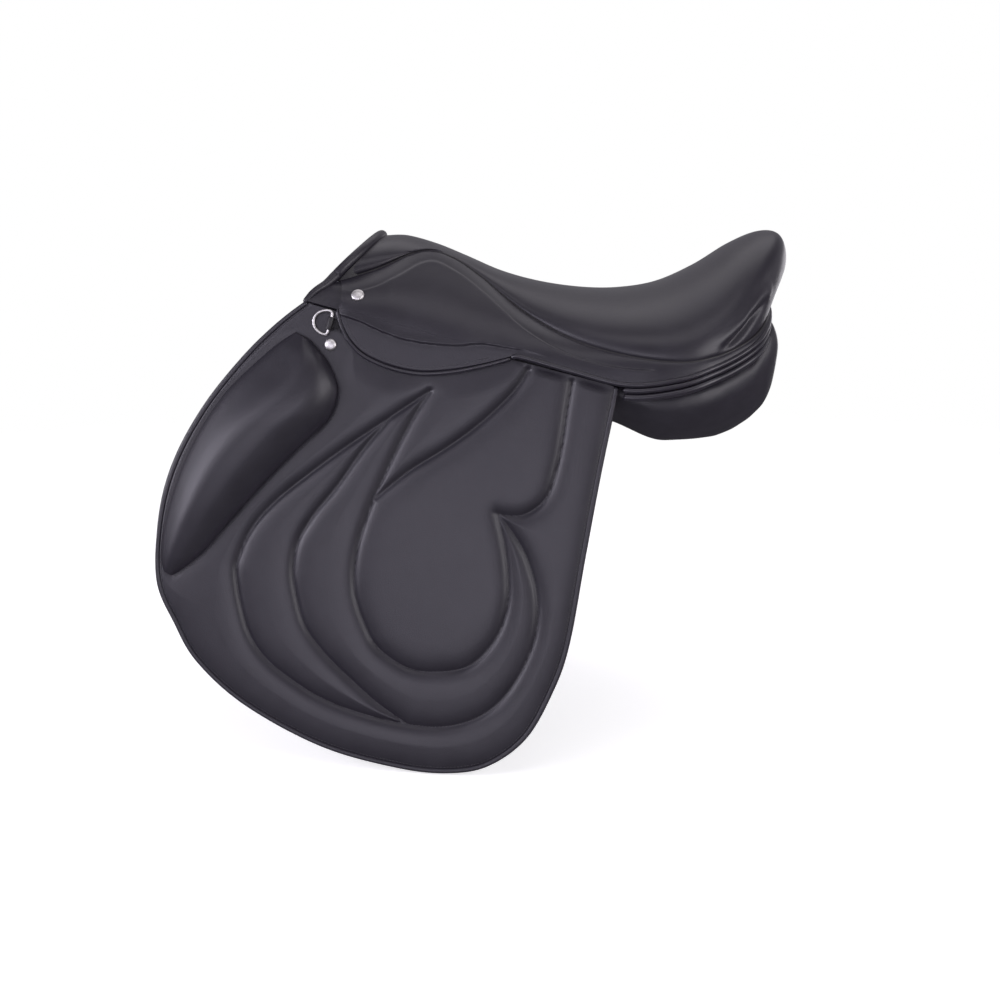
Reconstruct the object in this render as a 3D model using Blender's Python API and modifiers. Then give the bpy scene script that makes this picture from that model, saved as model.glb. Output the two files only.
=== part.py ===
"""Jumping saddle with a 17.5 inch seat and quilted forward-cut flaps.

Metres. +X runs from the pommel to the cantle, -Y is the near (left) side and +Z is up.
The origin lies midway between the two panels, on the plane that they bear on.
Names that start with left_ are modelled, and their right_ twins are mirrored from them.
"""
import math

import bmesh
import bpy
from mathutils import Matrix, Vector

MM = 0.001

# Clearances
GAP = 0.3
SEAM_GAP = 1.0
DECK_GAP = 1.0
WELT_GAP = 0.8
PANEL_EASE = 2.0
FOAM_EASE = 2.2
HINGE_EASE = 1.0
CUT_MARGIN = 60.0

# Leather, web and wood thicknesses
COVER_THICKNESS = 2.0
SKIRT_THICKNESS = 4.0
FLAP_THICKNESS = 7.0
BILLET_THICKNESS = 4.0
SWEAT_FLAP_THICKNESS = 4.0
WEB_THICKNESS = 2.0
TREE_THICKNESS = 7.0
HEAD_PLATE_THICKNESS = 3.0
GULLET_PLATE_THICKNESS = 3.0

# The line that flap and skirt fold about, at its front and rear end, and the flap's lean from plumb
HINGE_FRONT = (-245.0, -114.0, 136.5)
HINGE_REAR = (64.0, -170.0, 56.0)
FLAP_SPLAY_DEG = 11.5

# Seat ribs: crown x, crown z, then the seam's x, half width and z
SEAT_RIBS = [
    (-190, 201.5, -231, 84, 158.5),
    (-168, 201.5, -195, 74.5, 169),
    (-137, 193, -150, 59, 187),
    (-104, 179.5, -120, 62, 181),
    (-67, 164, -88, 75, 161),
    (-25, 153, -45, 104, 127),
    (20, 147, 5, 138, 102),
    (60, 147, 55, 158, 89),
    (100, 154, 103, 164, 84),
    (140, 172, 135, 158, 88),
    (175, 194, 161, 142, 96),
    (204, 206, 184, 118, 107),
    (224, 203, 200, 90, 119),
    (232, 181, 211, 58, 128),
    (228, 156, 216, 28, 133.5),
    (218, 136, 218, 0, 135),
]
SEAT_RIB_STEPS = 2
SEAT_SPAN_STEPS = 6
ANGLE_STEP = 0.05

# Deck under the foam: x, height on the centre line, and how far it has fallen at its measured width
DECK_RIBS = [
    (-235, 184, 40),
    (-200, 179, 40),
    (-147, 169, 40),
    (-110, 155, 34),
    (-68, 139, 25),
    (-20, 126, 18),
    (30, 118, 15),
    (100, 115, 15),
    (170, 120, 17),
    (215, 122, 17),
]
DECK_MEASURED_WIDTH = 100.0
FOAM_EDGE_INSET = 7.0
CANTLE_CORE_STEP = 1.5
CANTLE_LEAN = 0.1

# Tree band, from head to cantle: inner x and half width, then outer x and half width
TREE_BAND = [
    (-150, 0, -197, 0),
    (-144, 22, -197, 46),
    (-128, 34, -184, 86),
    (-96, 38, -130, 112),
    (-40, 42, -60, 110),
    (30, 56, 30, 124),
    (100, 64, 100, 130),
    (146, 44, 166, 96),
    (160, 18, 190, 48),
    (163, 0, 197, 0),
]
TREE_STEPS = 2
TREE_SPAN_STEPS = 3

WEB_CROSS_SPAN_X = (-10.0, 42.0)
WEB_CROSS_HALF_WIDTH = 112.0
WEB_LONG_SPAN_X = (-155.0, 194.0)
WEB_LONG_HALF_WIDTH = 25.0
HEAD_PLATE_SPAN_X = (-194.0, -160.0)
HEAD_PLATE_HALF_WIDTH = 72.0

# Steel arch under the tree's head: half profile as y and z
GULLET_PLATE_X = -184.0
GULLET_PLATE_WIDTH = 32.0
GULLET_PROFILE = [(0, 158.5), (30, 154.5), (58, 144), (82, 124), (95, 103), (100, 78)]

# Pommel roll
ROLL_RADIUS = 5.3
ROLL_TAIL = [(-243, 93, 154.5), (-252, 98.5, 149.5), (-258.5, 101.5, 145)]
POINT_COVER_THICKNESS = 3.0
POINT_COVER_FRONT = -14.0

# Skirt: lower edge of its fixed part per seat rib, along the hinge line and then in the open
SKIRT_HINGE_STATIONS = [17, 50, 92, 126, 160]
SKIRT_LOWER_EDGE = [
    (-49, -150, 88.5),
    (1, -159, 75.5),
    (53, -169, 64),
    (103, -169, 69),
    (138, -160, 80),
    (166, -141, 91),
    (187, -120, 102),
]
SKIRT_REAR_EDGE = [(202, -91, 115), (213, -58, 124.5), (218, -28, 130.5), (220, 0, 132)]
SKIRT_FALL = 35.0
SKIRT_FALL_SHARE = 0.45
SKIRT_SPAN_STEPS = 4
SKIRT_EDGE = [
    (17, 0.3), (21, 8), (28, 18), (38, 28), (52, 36), (70, 40), (90, 41),
    (110, 39), (128, 34), (148, 26), (168, 16), (184, 7), (195, 0.3),
]
PIPING_RADIUS = 2.0
PIPING_TOP = 3.0
CANTLE_WELT_RADIUS = 2.2
SEAT_WELT_RADIUS = 2.6
PANEL_WELT_RADIUS = 3.2

# Flap outline as (along the hinge line, down the flap), from its front top corner round to the rear
FLAP_EDGE = [
    (-19, 1), (-40, 28), (-65, 70), (-91, 129), (-106, 191), (-106, 250), (-91, 312),
    (-61, 349), (-27, 380), (33, 407), (119, 423), (199, 420), (250, 409), (285, 390),
    (312, 354), (324, 305), (327, 255), (318, 165), (310, 82), (304, 1),
]
FLAP_EDGE_STEPS = 2
BINDING_WIDTH = 4.7
FLAP_ROUNDING = 1.2
LEATHER_ROUNDING = 1.0

# Quilt channels on the flap, in the same two directions
QUILT_LONG = [
    (123, 57), (86, 100), (55, 136), (26, 173), (4, 204), (-10, 234), (-15, 262), (-12, 285),
    (12, 330), (38, 354), (75, 369), (110, 377), (150, 379), (192, 376), (228, 368), (256, 352),
    (276, 328), (288, 295), (292, 255), (284, 218), (265, 186), (240, 164), (216, 151),
]
QUILT_MIDDLE = [
    (95, 96), (78, 130), (62, 170), (47, 204), (39, 234), (42, 262), (51, 283), (69, 312),
    (95, 334), (130, 353), (160, 366),
]
QUILT_INNER = [
    (121, 70), (116, 90), (111, 115), (105, 146), (101, 173), (99, 198), (99, 223), (103, 249),
    (111, 270), (126, 292), (147, 312), (181, 322), (210, 317), (236, 304), (251, 282),
    (258, 256), (257, 228), (249, 201), (240, 180), (222, 158),
]
QUILT_UPPER = [(107, 163), (128, 135), (153, 108), (174, 83), (190, 60), (206, 32), (214, 8)]
QUILT_REAR = [
    (224, 150), (236, 149), (250, 144), (262, 130), (267, 112), (267, 88), (265, 63),
    (261, 34), (258, 8),
]
CHANNEL_RADIUS = 4.5
CHANNEL_DEPTH = 2.2

# Notch in the flaps' top edge, where the stirrup bar stands through, from its rear to its front
NOTCH_EDGE = [(153, 20.5), (139, 27), (120, 31), (54, 31)]

# Knee block ribs: front edge, rear edge (both on the flap) and height
KNEE_RIBS = [
    (-20, 34, -2, 39, 5),
    (-36, 51, 22, 56, 15),
    (-56, 80, 38, 80, 22),
    (-74, 113, 36, 109, 26),
    (-87, 152, 16, 142, 26),
    (-95, 195, -10, 188, 24),
    (-97, 235, -33, 234, 20),
    (-95, 268, -52, 272, 14),
    (-90, 291, -68, 294, 8),
    (-85, 301, -76, 303, 3),
]
KNEE_STEPS = 2
KNEE_SPAN_STEPS = 8

# Sweat flap outline
SWEAT_FLAP_EDGE = [
    (-23, 2), (-46, 31), (-71, 73), (-96, 130), (-111, 191), (-111, 248), (-96, 306),
    (-66, 340), (-30, 368), (33, 393), (119, 407), (199, 403), (262, 382), (300, 336),
    (311, 280), (306, 165), (297, 60), (294, 2),
]

# Billet straps
BILLET_FRONT = 162.0
BILLET_WIDTH = 25.0
BILLET_SPACING = 7.0
BILLET_PIVOT_DOWN = 22.0
BILLET_LENGTH = 320.0
BILLET_POINT = 14.0
BILLET_HOLE_RADIUS = 2.5
BILLET_HOLE_PITCH = 25.0
BILLET_HOLES = 6
BILLET_LAST_HOLE = 30.0
BILLET_WEB_MARGIN = 6.0
BILLET_WEB_TOP = -8.0

# Stirrup bar, measured from the hinge line
BAR_FRONT = 62.0
BAR_REAR = 132.0
BAR_TOP = 10.0
BAR_WIDTH = 13.0
BAR_THICKNESS = 5.0
BAR_FACE = 6.6
BAR_SLOT = 12.5
BAR_PLATE_THICKNESS = 3.0
BAR_PLATE_BOTTOM = 30.0
BAR_POST = 10.0
BAR_OVERLAP = 1.0
CATCH_THICKNESS = 1.8
CATCH_WIDTH = 9.0
CATCH_REACH = 13.0
CATCH_PIN_RADIUS = 2.0

# Dee ring, its chape and the nails
DEE_WIRE_RADIUS = 1.4
DEE_HEIGHT = 24.0
DEE_REACH = 17.0
DEE_CORNER = 3.0
DEE_ALONG = 12.0
DEE_DOWN = 17.0
CHAPE_WIDTH = 13.0
CHAPE_THICKNESS = 1.5
CHAPE_TAIL = 26.0
STUD_PLACE = (18.0, 37.0)
STUD_RADIUS = 6.0
NAIL_RADIUS = 6.5
NAIL_DOME = 3.0
NAIL_RIM = 0.6
NAIL_STEPS = 16
HEAD_NAIL_ROW = 14
HEAD_NAIL_ROWS = 50
HEAD_NAIL_FALL = 0.62
HEAD_NAIL_STEP = 0.1

# Panel ribs: x, then inner bottom, outer bottom, outer top and inner top, each as y and z
PANEL_RIBS = [
    (-234, (64, 84), (86, 84), (84, 112), (66, 114)),
    (-205, (52, 62), (96, 56), (94, 124), (54, 140)),
    (-150, (42, 42), (106, 30), (104, 124), (42, 150)),
    (-80, (36, 20), (116, 8), (118, 110), (36, 124)),
    (-10, (35, 3), (124, -3), (134, 84), (36, 108)),
    (55, (38, -4), (120, -4), (162, 45), (42, 100)),
    (105, (40, -4), (116, -4), (166, 47), (44, 98)),
    (150, (42, -2), (106, -1), (152, 58), (46, 102)),
    (188, (46, 16), (92, 18), (120, 78), (48, 104)),
    (214, (52, 44), (76, 46), (84, 84), (54, 96)),
]
PANEL_BULGE = 5.0
FLAP_ROOM_EASE = 6.0
DECK_ROOM_REACH = 240.0
DECK_ROOM_WIDTH = 200.0
DECK_ROOM_TOP = 300.0
DECK_ROOM_STEPS = 24


# Colour, roughness and metallic value of each finish
FINISHES = {
    "leather": ((0.022, 0.020, 0.027), 0.42, 0.0),
    "foam": ((0.55, 0.50, 0.38), 0.9, 0.0),
    "web": ((0.62, 0.58, 0.48), 0.8, 0.0),
    "wood": ((0.42, 0.27, 0.14), 0.5, 0.0),
    "steel": ((0.62, 0.61, 0.60), 0.3, 1.0),
}
COLLECTIONS = {}


def vec(values):
    """A point given in millimetres, as a vector in metres."""
    return Vector(values) * MM


# The flap's frame: X along the hinge line, Y up the flap, Z outwards
ALONG = (vec(HINGE_REAR) - vec(HINGE_FRONT)).normalized()
PLUMB = Vector((0, -math.sin(math.radians(FLAP_SPLAY_DEG)), -math.cos(math.radians(FLAP_SPLAY_DEG))))
DOWN = (PLUMB - ALONG * PLUMB.dot(ALONG)).normalized()
OUT = DOWN.cross(ALONG)
FLAP_FRAME = Matrix.Translation(vec(HINGE_FRONT)) @ Matrix((ALONG, -DOWN, OUT)).transposed().to_4x4()

# Layers of the flap's stack, as heights over the hinge line, all of them below it
SKIRT_LAYER = (-SKIRT_THICKNESS, 0.0)
FLAP_LAYER = (SKIRT_LAYER[0] - GAP - FLAP_THICKNESS, SKIRT_LAYER[0] - GAP)
BILLET_LAYER = (FLAP_LAYER[0] - GAP - BILLET_THICKNESS, FLAP_LAYER[0] - GAP)
SWEAT_LAYER = (BILLET_LAYER[0] - GAP - SWEAT_FLAP_THICKNESS, BILLET_LAYER[0] - GAP)

# Layers of the seat's stack, as heights over the deck
CROSS_LAYER = (-WEB_THICKNESS, 0.0)
LONG_LAYER = (CROSS_LAYER[0] - DECK_GAP - WEB_THICKNESS, CROSS_LAYER[0] - DECK_GAP)
TREE_LAYER = (LONG_LAYER[0] - DECK_GAP - TREE_THICKNESS, LONG_LAYER[0] - DECK_GAP)
HEAD_PLATE_LAYER = (TREE_LAYER[1] + DECK_GAP, TREE_LAYER[1] + DECK_GAP + HEAD_PLATE_THICKNESS)


def smooth(rows, steps, closed=False):
    """Points on a smooth curve through the rows, with so many steps from one row to the next."""
    count = len(rows)
    spans = count if closed else count - 1
    result = []
    for span in range(spans):
        before, start, end, after = (
            rows[index % count] if closed else rows[min(max(index, 0), count - 1)]
            for index in range(span - 1, span + 3)
        )
        for step in range(steps):
            t = step / steps
            result.append(tuple(
                0.5 * (2 * b + (c - a) * t + (2 * a - 5 * b + 4 * c - d) * t * t
                       + (3 * b - a - 3 * c + d) * t ** 3)
                for a, b, c, d in zip(before, start, end, after)
            ))
    if not closed:
        result.append(tuple(rows[-1]))
    return result


def offset(points, distance):
    """An open outline moved sideways: one that runs along its first axis moves down its second."""
    moved = []
    for index, point in enumerate(points):
        before = points[max(index - 1, 0)]
        after = points[min(index + 1, len(points) - 1)]
        du = after[0] - before[0]
        dv = after[1] - before[1]
        length = math.hypot(du, dv)
        moved.append((point[0] + distance * dv / length, point[1] - distance * du / length))
    return moved


def look(name, colour, roughness, metallic=0.0):
    material = bpy.data.materials.new(name)
    material.use_nodes = True
    shader = material.node_tree.nodes["Principled BSDF"]
    shader.inputs["Base Color"].default_value = (*colour, 1)
    shader.inputs["Roughness"].default_value = roughness
    shader.inputs["Metallic"].default_value = metallic
    return material


def add_object(name, mesh, frame=None, finish="leather", collection="part"):
    """Puts a mesh into the scene as a named object with its own copy of a finish."""
    body = bpy.data.objects.new(name, mesh)
    COLLECTIONS[collection].objects.link(body)
    if frame is not None:
        body.matrix_world = frame
    if collection == "cutters":
        body.hide_render = True
        body.display_type = "WIRE"
    else:
        colour, roughness, metallic = FINISHES[finish]
        body["finish"] = finish
        mesh.materials.clear()
        mesh.materials.append(look(name, colour, roughness, metallic))
    return body


def evaluated_mesh(body):
    bpy.context.view_layer.update()
    depsgraph = bpy.context.evaluated_depsgraph_get()
    return bpy.data.meshes.new_from_object(body.evaluated_get(depsgraph), depsgraph=depsgraph)


def welded(mesh):
    work = bmesh.new()
    work.from_mesh(mesh)
    bmesh.ops.remove_doubles(work, verts=work.verts, dist=0.01 * MM)
    bmesh.ops.recalc_face_normals(work, faces=work.faces)
    work.to_mesh(mesh)
    work.free()
    mesh.shade_smooth()
    mesh.set_sharp_from_angle(angle=math.radians(40))
    return mesh


def from_curve(name, curve, frame, finish="leather", collection="part"):
    """Turns a curve into a closed mesh object."""
    guide = add_object(name + "_curve", curve, frame, collection="cutters")
    mesh = welded(evaluated_mesh(guide))
    bpy.data.objects.remove(guide)
    bpy.data.curves.remove(curve)
    return add_object(name, mesh, frame, finish, collection)


def tube(name, path, radius, frame=None, finish="leather", closed=False, collection="part", sides=1):
    """A round wire, welt or cutter along points given in millimetres."""
    curve = bpy.data.curves.new(name, "CURVE")
    curve.dimensions = "3D"
    curve.bevel_depth = radius * MM
    curve.bevel_resolution = sides
    curve.use_fill_caps = True
    spline = curve.splines.new("POLY")
    spline.points.add(len(path) - 1)
    for control, point in zip(spline.points, path):
        control.co = (*vec(point), 1)
    spline.use_cyclic_u = closed
    return from_curve(name, curve, frame, finish, collection)


def plate(name, outlines, layer, frame, finish="leather", collection="part"):
    """A flat piece cut to its outlines, the first one outside and the others holes."""
    low, high = layer
    curve = bpy.data.curves.new(name, "CURVE")
    curve.dimensions = "2D"
    curve.fill_mode = "BOTH"
    curve.extrude = 0.5 * (high - low) * MM
    for outline in outlines:
        spline = curve.splines.new("POLY")
        spline.points.add(len(outline) - 1)
        for control, (along, up) in zip(spline.points, outline):
            control.co = (along * MM, up * MM, 0, 1)
        spline.use_cyclic_u = True
    middle = frame @ Matrix.Translation((0, 0, 0.5 * (low + high) * MM))
    return from_curve(name, curve, middle, finish, collection)


def hanging(points):
    """Flap points (along, down) as coordinates of the flap's frame, whose Y is up."""
    return [(along, -down) for along, down in points]


def round_edges(body, width, segments=1):
    modifier = body.modifiers.new("Rounded edges", "BEVEL")
    modifier.width = width * MM
    modifier.segments = segments
    modifier.limit_method = "ANGLE"
    modifier.angle_limit = math.radians(50)


def combine(body, cutter, operation="DIFFERENCE"):
    modifier = body.modifiers.new(cutter.name, "BOOLEAN")
    modifier.operation = operation
    modifier.object = cutter


def loft(name, rings, frame=None, finish="leather", collection="part", loop=False):
    """A closed skin over closed rings of the same count, capped at both ends unless it is a loop."""
    work = bmesh.new()
    layers = [[work.verts.new(vec(point)) for point in ring] for ring in rings]
    pairs = list(zip(layers, layers[1:]))
    if loop:
        pairs.append((layers[-1], layers[0]))
    else:
        work.faces.new(layers[0])
        work.faces.new(layers[-1])
    for first, second in pairs:
        for index in range(len(first)):
            after = (index + 1) % len(first)
            work.faces.new((first[index], first[after], second[after], second[index]))
    mesh = bpy.data.meshes.new(name)
    work.to_mesh(mesh)
    work.free()
    return add_object(name, welded(mesh), frame, finish, collection)


def sheet(name, grid, thickness, finish="leather"):
    """A skin through a grid of points, thickened away from the side that faces up."""
    work = bmesh.new()
    rows = [[work.verts.new(vec(point)) for point in row] for row in grid]
    for first, second in zip(rows, rows[1:]):
        for a, b, c, d in zip(first, first[1:], second[1:], second):
            work.faces.new((a, b, c, d))
    bmesh.ops.remove_doubles(work, verts=work.verts, dist=0.05 * MM)
    bmesh.ops.recalc_face_normals(work, faces=work.faces)
    if sum(face.normal.z * face.calc_area() for face in work.faces) < 0:
        bmesh.ops.reverse_faces(work, faces=work.faces)
    mesh = bpy.data.meshes.new(name)
    work.to_mesh(mesh)
    work.free()
    mesh.shade_smooth()
    body = add_object(name, mesh, None, finish)
    modifier = body.modifiers.new("Thickness", "SOLIDIFY")
    modifier.thickness = thickness * MM
    modifier.offset = -1
    return body


def seat_ribs(steps=SEAT_RIB_STEPS):
    return smooth(SEAT_RIBS, steps)


def seat_point(rib, angle):
    """A point of the seat on a rib, from its crown at angle 0 to its seam at 90 degrees."""
    crown_x, crown_z, seam_x, half_width, seam_z = rib
    share = math.cos(angle)
    return (
        seam_x + (crown_x - seam_x) * share,
        half_width * math.sin(angle),
        seam_z + (crown_z - seam_z) * share,
    )


def seat_direction(rib, angle):
    """Which way a rib runs at one angle, as a vector that isn't of unit length."""
    return Vector(seat_point(rib, angle + ANGLE_STEP)) - Vector(seat_point(rib, angle - ANGLE_STEP))


def seam_angle(rib):
    """The angle at which the cover ends, a seam's gap above the skirt."""
    rise = max(rib[1] - rib[4], 2 * SEAM_GAP)
    return math.acos(SEAM_GAP / rise)


def span(limit, steps):
    return [limit * step / steps for step in range(-steps, steps + 1)]


def deck(x, y):
    """Height of the deck that carries the foam, a smooth curve through its ribs."""
    ribs = DECK_RIBS
    index = 0
    while index < len(ribs) - 2 and x > ribs[index + 1][0]:
        index += 1
    start, end = ribs[index], ribs[index + 1]
    before = ribs[max(index - 1, 0)]
    after = ribs[min(index + 2, len(ribs) - 1)]
    width = end[0] - start[0]
    share = (x - start[0]) / width
    leave = (end[1] - before[1]) / (end[0] - before[0]) * width
    arrive = (after[1] - start[1]) / (after[0] - start[0]) * width
    rise = end[1] - start[1]
    bend = (leave + arrive - 2 * rise) * share ** 3 + (3 * rise - 2 * leave - arrive) * share ** 2
    droop = start[2] + (end[2] - start[2]) * share
    return start[1] + leave * share + bend - droop * (y / DECK_MEASURED_WIDTH) ** 2


def deck_sheet(name, span_x, half_width, layer, steps, finish):
    """A flat strap or plate laid over the deck, between two heights over it."""
    rings = []
    for step in range(steps[0] + 1):
        x = span_x[0] + (span_x[1] - span_x[0]) * step / steps[0]
        across = span(half_width, steps[1])
        top = [(x, y, deck(x, y) + layer[1]) for y in across]
        bottom = [(x, y, deck(x, y) + layer[0]) for y in reversed(across)]
        rings.append(top + bottom)
    return loft(name, rings, None, finish)


def build_seat_cover():
    grid = []
    for rib in seat_ribs():
        grid.append([seat_point(rib, angle) for angle in span(seam_angle(rib), SEAT_SPAN_STEPS)])
    grid[-1] = [grid[-1][SEAT_SPAN_STEPS]] * len(grid[-1])
    return sheet("seat_cover", grid, COVER_THICKNESS)


def build_seat_foam():
    """Foam between cover and deck. Behind the cantle's crown its base stays under the crown."""
    ribs = seat_ribs(1)[:-1]
    crest = max(range(len(ribs)), key=lambda index: ribs[index][1] + ribs[index][0] * CANTLE_LEAN) - 1
    inset = COVER_THICKNESS + FOAM_EASE
    rings = []
    for index, rib in enumerate(ribs):
        crown_x, crown_z, seam_x, half_width, seam_z = rib
        limit = seam_angle(rib) * (SEAT_SPAN_STEPS - 1) / SEAT_SPAN_STEPS
        side = max(half_width - FOAM_EDGE_INSET, 0.5 * half_width)
        behind = index > crest
        top = []
        bottom = []
        for angle in span(limit, SEAT_SPAN_STEPS - 1):
            before = Vector(seat_point(ribs[max(index - 1, 0)], angle))
            after = Vector(seat_point(ribs[min(index + 1, len(ribs) - 1)], angle))
            here = Vector(seat_point(rib, angle))
            across = seat_direction(rib, angle)
            normal = (after - before).cross(across).normalized()
            point = here - normal * inset
            point.y = min(max(point.y, -side), side)
            top.append(tuple(point))
            x = point.x
            if behind:
                x = ribs[crest][0] - inset + CANTLE_CORE_STEP * (index - crest)
                x += (seam_x - crown_x) * (1 - math.cos(angle))
            bottom.append((x, point.y, deck(x, point.y) + DECK_GAP))
        rings.append(top + bottom[::-1])
    return loft("seat_foam", rings, None, "foam")


def build_tree():
    """Laminated spring tree: one band that runs round the saddle under the webbing."""
    half = smooth(TREE_BAND, TREE_STEPS)
    around = half + [(row[0], -row[1], row[2], -row[3]) for row in half[-2:0:-1]]
    rings = []
    for inner_x, inner_y, outer_x, outer_y in around:
        line = []
        for step in range(TREE_SPAN_STEPS + 1):
            share = step / TREE_SPAN_STEPS
            x = inner_x + (outer_x - inner_x) * share
            line.append((x, inner_y + (outer_y - inner_y) * share))
        top = [(x, y, deck(x, y) + TREE_LAYER[1]) for x, y in line]
        bottom = [(x, y, deck(x, y) + TREE_LAYER[0]) for x, y in reversed(line)]
        rings.append(top + bottom)
    return loft("tree", rings, None, "wood", loop=True)


def arch_frame():
    """X across the saddle, Y upwards and Z to the rear, at the middle of the gullet plate."""
    facing = Matrix(((0, 0, 1), (1, 0, 0), (0, 1, 0))).to_4x4()
    return Matrix.Translation((GULLET_PLATE_X * MM, 0, 0)) @ facing


def arch_profile():
    half = smooth(GULLET_PROFILE, 2)
    return [(-y, z) for y, z in half[:0:-1]] + half


def build_gullet_plate():
    """Steel arch that keeps the tree's head open, its legs down both sides."""
    outer = arch_profile()
    inner = offset(outer, GULLET_PLATE_THICKNESS)
    layer = (-0.5 * GULLET_PLATE_WIDTH, 0.5 * GULLET_PLATE_WIDTH)
    return plate("gullet_plate", [outer + inner[::-1]], layer, arch_frame(), "steel")


def build_arch_room():
    """The arch and all that lies outside it, which the panels stay clear of."""
    inner = offset(arch_profile(), GULLET_PLATE_THICKNESS + DECK_GAP)
    foot = GULLET_PROFILE[-1][1] - DECK_GAP
    side = GULLET_PROFILE[-1][0] + CUT_MARGIN
    top = GULLET_PROFILE[0][1] + CUT_MARGIN
    inner = [(inner[0][0], foot)] + inner + [(inner[-1][0], foot)]
    outline = inner + [(side, foot), (side, top), (-side, top), (-side, foot)]
    layer = (-0.5 * GULLET_PLATE_WIDTH - GAP, 0.5 * GULLET_PLATE_WIDTH + GAP)
    return plate("left_arch_room", [outline], layer, arch_frame(), collection="cutters")


def roll_path():
    """Middle of the pommel roll, from the crown's left seam to the end of its right tail."""
    rib = SEAT_RIBS[0]
    forward = Vector((-1, 0, 0))
    path = []
    for angle in span(math.pi / 2, 8):
        here = Vector(seat_point(rib, angle))
        along = seat_direction(rib, angle).normalized()
        ahead = (forward - along * forward.dot(along)).normalized()
        path.append(tuple(here + ahead * (ROLL_RADIUS + SEAM_GAP)))
    return path + ROLL_TAIL


def build_pommel_roll():
    """Rolled welt round the pommel, just ahead of the cover's front edge."""
    left_tail = [(x, -y, z) for x, y, z in reversed(ROLL_TAIL)]
    return tube("pommel_roll", left_tail + roll_path(), ROLL_RADIUS, sides=2)


def hinge_point(station, down=0.0, out=0.0):
    """A point of the flap's frame, in the saddle's own axes and in millimetres."""
    place = Vector(HINGE_FRONT) + ALONG * station + DOWN * down + OUT * out
    return tuple(place)


def skirt_rows():
    """For each seat rib down to the cantle: the seam's point and the fixed skirt's lower edge."""
    lower = [hinge_point(station, down=-HINGE_EASE) for station in SKIRT_HINGE_STATIONS]
    lower += SKIRT_LOWER_EDGE
    rows = []
    for rib, edge in zip(SEAT_RIBS, lower):
        rows.append((rib[2], -rib[3], rib[4], *edge))
    return rows


def skirt_point(row, share):
    """A point of the fixed skirt, from the seam at share 0 to its lower edge at 1."""
    seam = Vector(row[:3])
    edge = Vector(row[3:])
    fall = min(SKIRT_FALL, SKIRT_FALL_SHARE * (edge - seam).length)
    bend = edge - DOWN * fall
    return tuple(seam * (1 - share) ** 2 + bend * 2 * share * (1 - share) + edge * share ** 2)


def build_skirt_top():
    grid = []
    for row in smooth(skirt_rows(), 2):
        shares = [step / SKIRT_SPAN_STEPS for step in range(SKIRT_SPAN_STEPS + 1)]
        grid.append([skirt_point(row, share) for share in shares])
    return sheet("left_skirt_top", grid, SKIRT_THICKNESS)


def build_point_cover():
    """Leather over the tree's point, between the pommel roll, the skirt and the flap."""
    skirt = skirt_rows()[0]
    grid = []
    for step, (x, y, z) in enumerate(ROLL_TAIL, start=1):
        centre = Vector((x, -y, z))
        share = step / (len(ROLL_TAIL) + 1)
        rear = Vector(skirt_point(skirt, share)) - ALONG * SEAM_GAP + OUT * FLAP_LAYER[1] * share
        front = centre + (rear - centre).normalized() * (ROLL_RADIUS + POINT_COVER_THICKNESS)
        grid.append([tuple(front.lerp(rear, column / 3)) for column in range(4)])
    front = Vector(hinge_point(POINT_COVER_FRONT, -HINGE_EASE, FLAP_LAYER[1]))
    rear = Vector(hinge_point(SKIRT_HINGE_STATIONS[0] - SEAM_GAP, -HINGE_EASE, FLAP_LAYER[1]))
    grid.append([tuple(front.lerp(rear, column / 3)) for column in range(4)])
    sheet("left_point_cover", grid, POINT_COVER_THICKNESS)


def build_skirt():
    edge = smooth(SKIRT_EDGE, 2)
    body = plate("left_skirt", [hanging(edge)], SKIRT_LAYER, FLAP_FRAME)
    round_edges(body, LEATHER_ROUNDING)
    route = [point for point in offset(edge, -(PIPING_RADIUS + GAP)) if point[1] > PIPING_TOP]
    height = SKIRT_LAYER[0] + PIPING_RADIUS
    path = [(along, -down, height) for along, down in route]
    tube("left_skirt_piping", path, PIPING_RADIUS, FLAP_FRAME)


def welt_route():
    """Middle of the cantle welt, from where the skirt leaves the flap to the cantle's middle."""
    reach = CANTLE_WELT_RADIUS + WELT_GAP
    route = []
    for row in skirt_rows()[len(SKIRT_HINGE_STATIONS):]:
        edge = Vector(row[3:])
        fall = edge - Vector(skirt_point(row, 1 - 1 / SKIRT_SPAN_STEPS))
        route.append(tuple(edge + fall.normalized() * reach))
    return route + [(x, y, z - reach) for x, y, z in SKIRT_REAR_EDGE]


def lowered_and_mirrored(route, drop):
    left = [(x, y, z - drop) for x, y, z in route]
    return smooth(left + [(x, -y, z) for x, y, z in reversed(left[:-1])], 2)


def build_welts():
    """Three welts under the seat's edge, each one seated on the one above it."""
    route = welt_route()
    tube("cantle_welt", lowered_and_mirrored(route, 0), CANTLE_WELT_RADIUS)
    drop = CANTLE_WELT_RADIUS + WELT_GAP + SEAT_WELT_RADIUS
    tube("seat_welt", lowered_and_mirrored(route[2:], drop), SEAT_WELT_RADIUS)
    drop += SEAT_WELT_RADIUS + WELT_GAP + PANEL_WELT_RADIUS
    tube("panel_welt", lowered_and_mirrored(route[2:], drop), PANEL_WELT_RADIUS)


def notched(edge):
    """An outline closed along the top, with the notch for the stirrup bar."""
    top = edge[0][1]
    return edge + [(NOTCH_EDGE[0][0], top)] + NOTCH_EDGE + [(NOTCH_EDGE[-1][0], top)]


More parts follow.
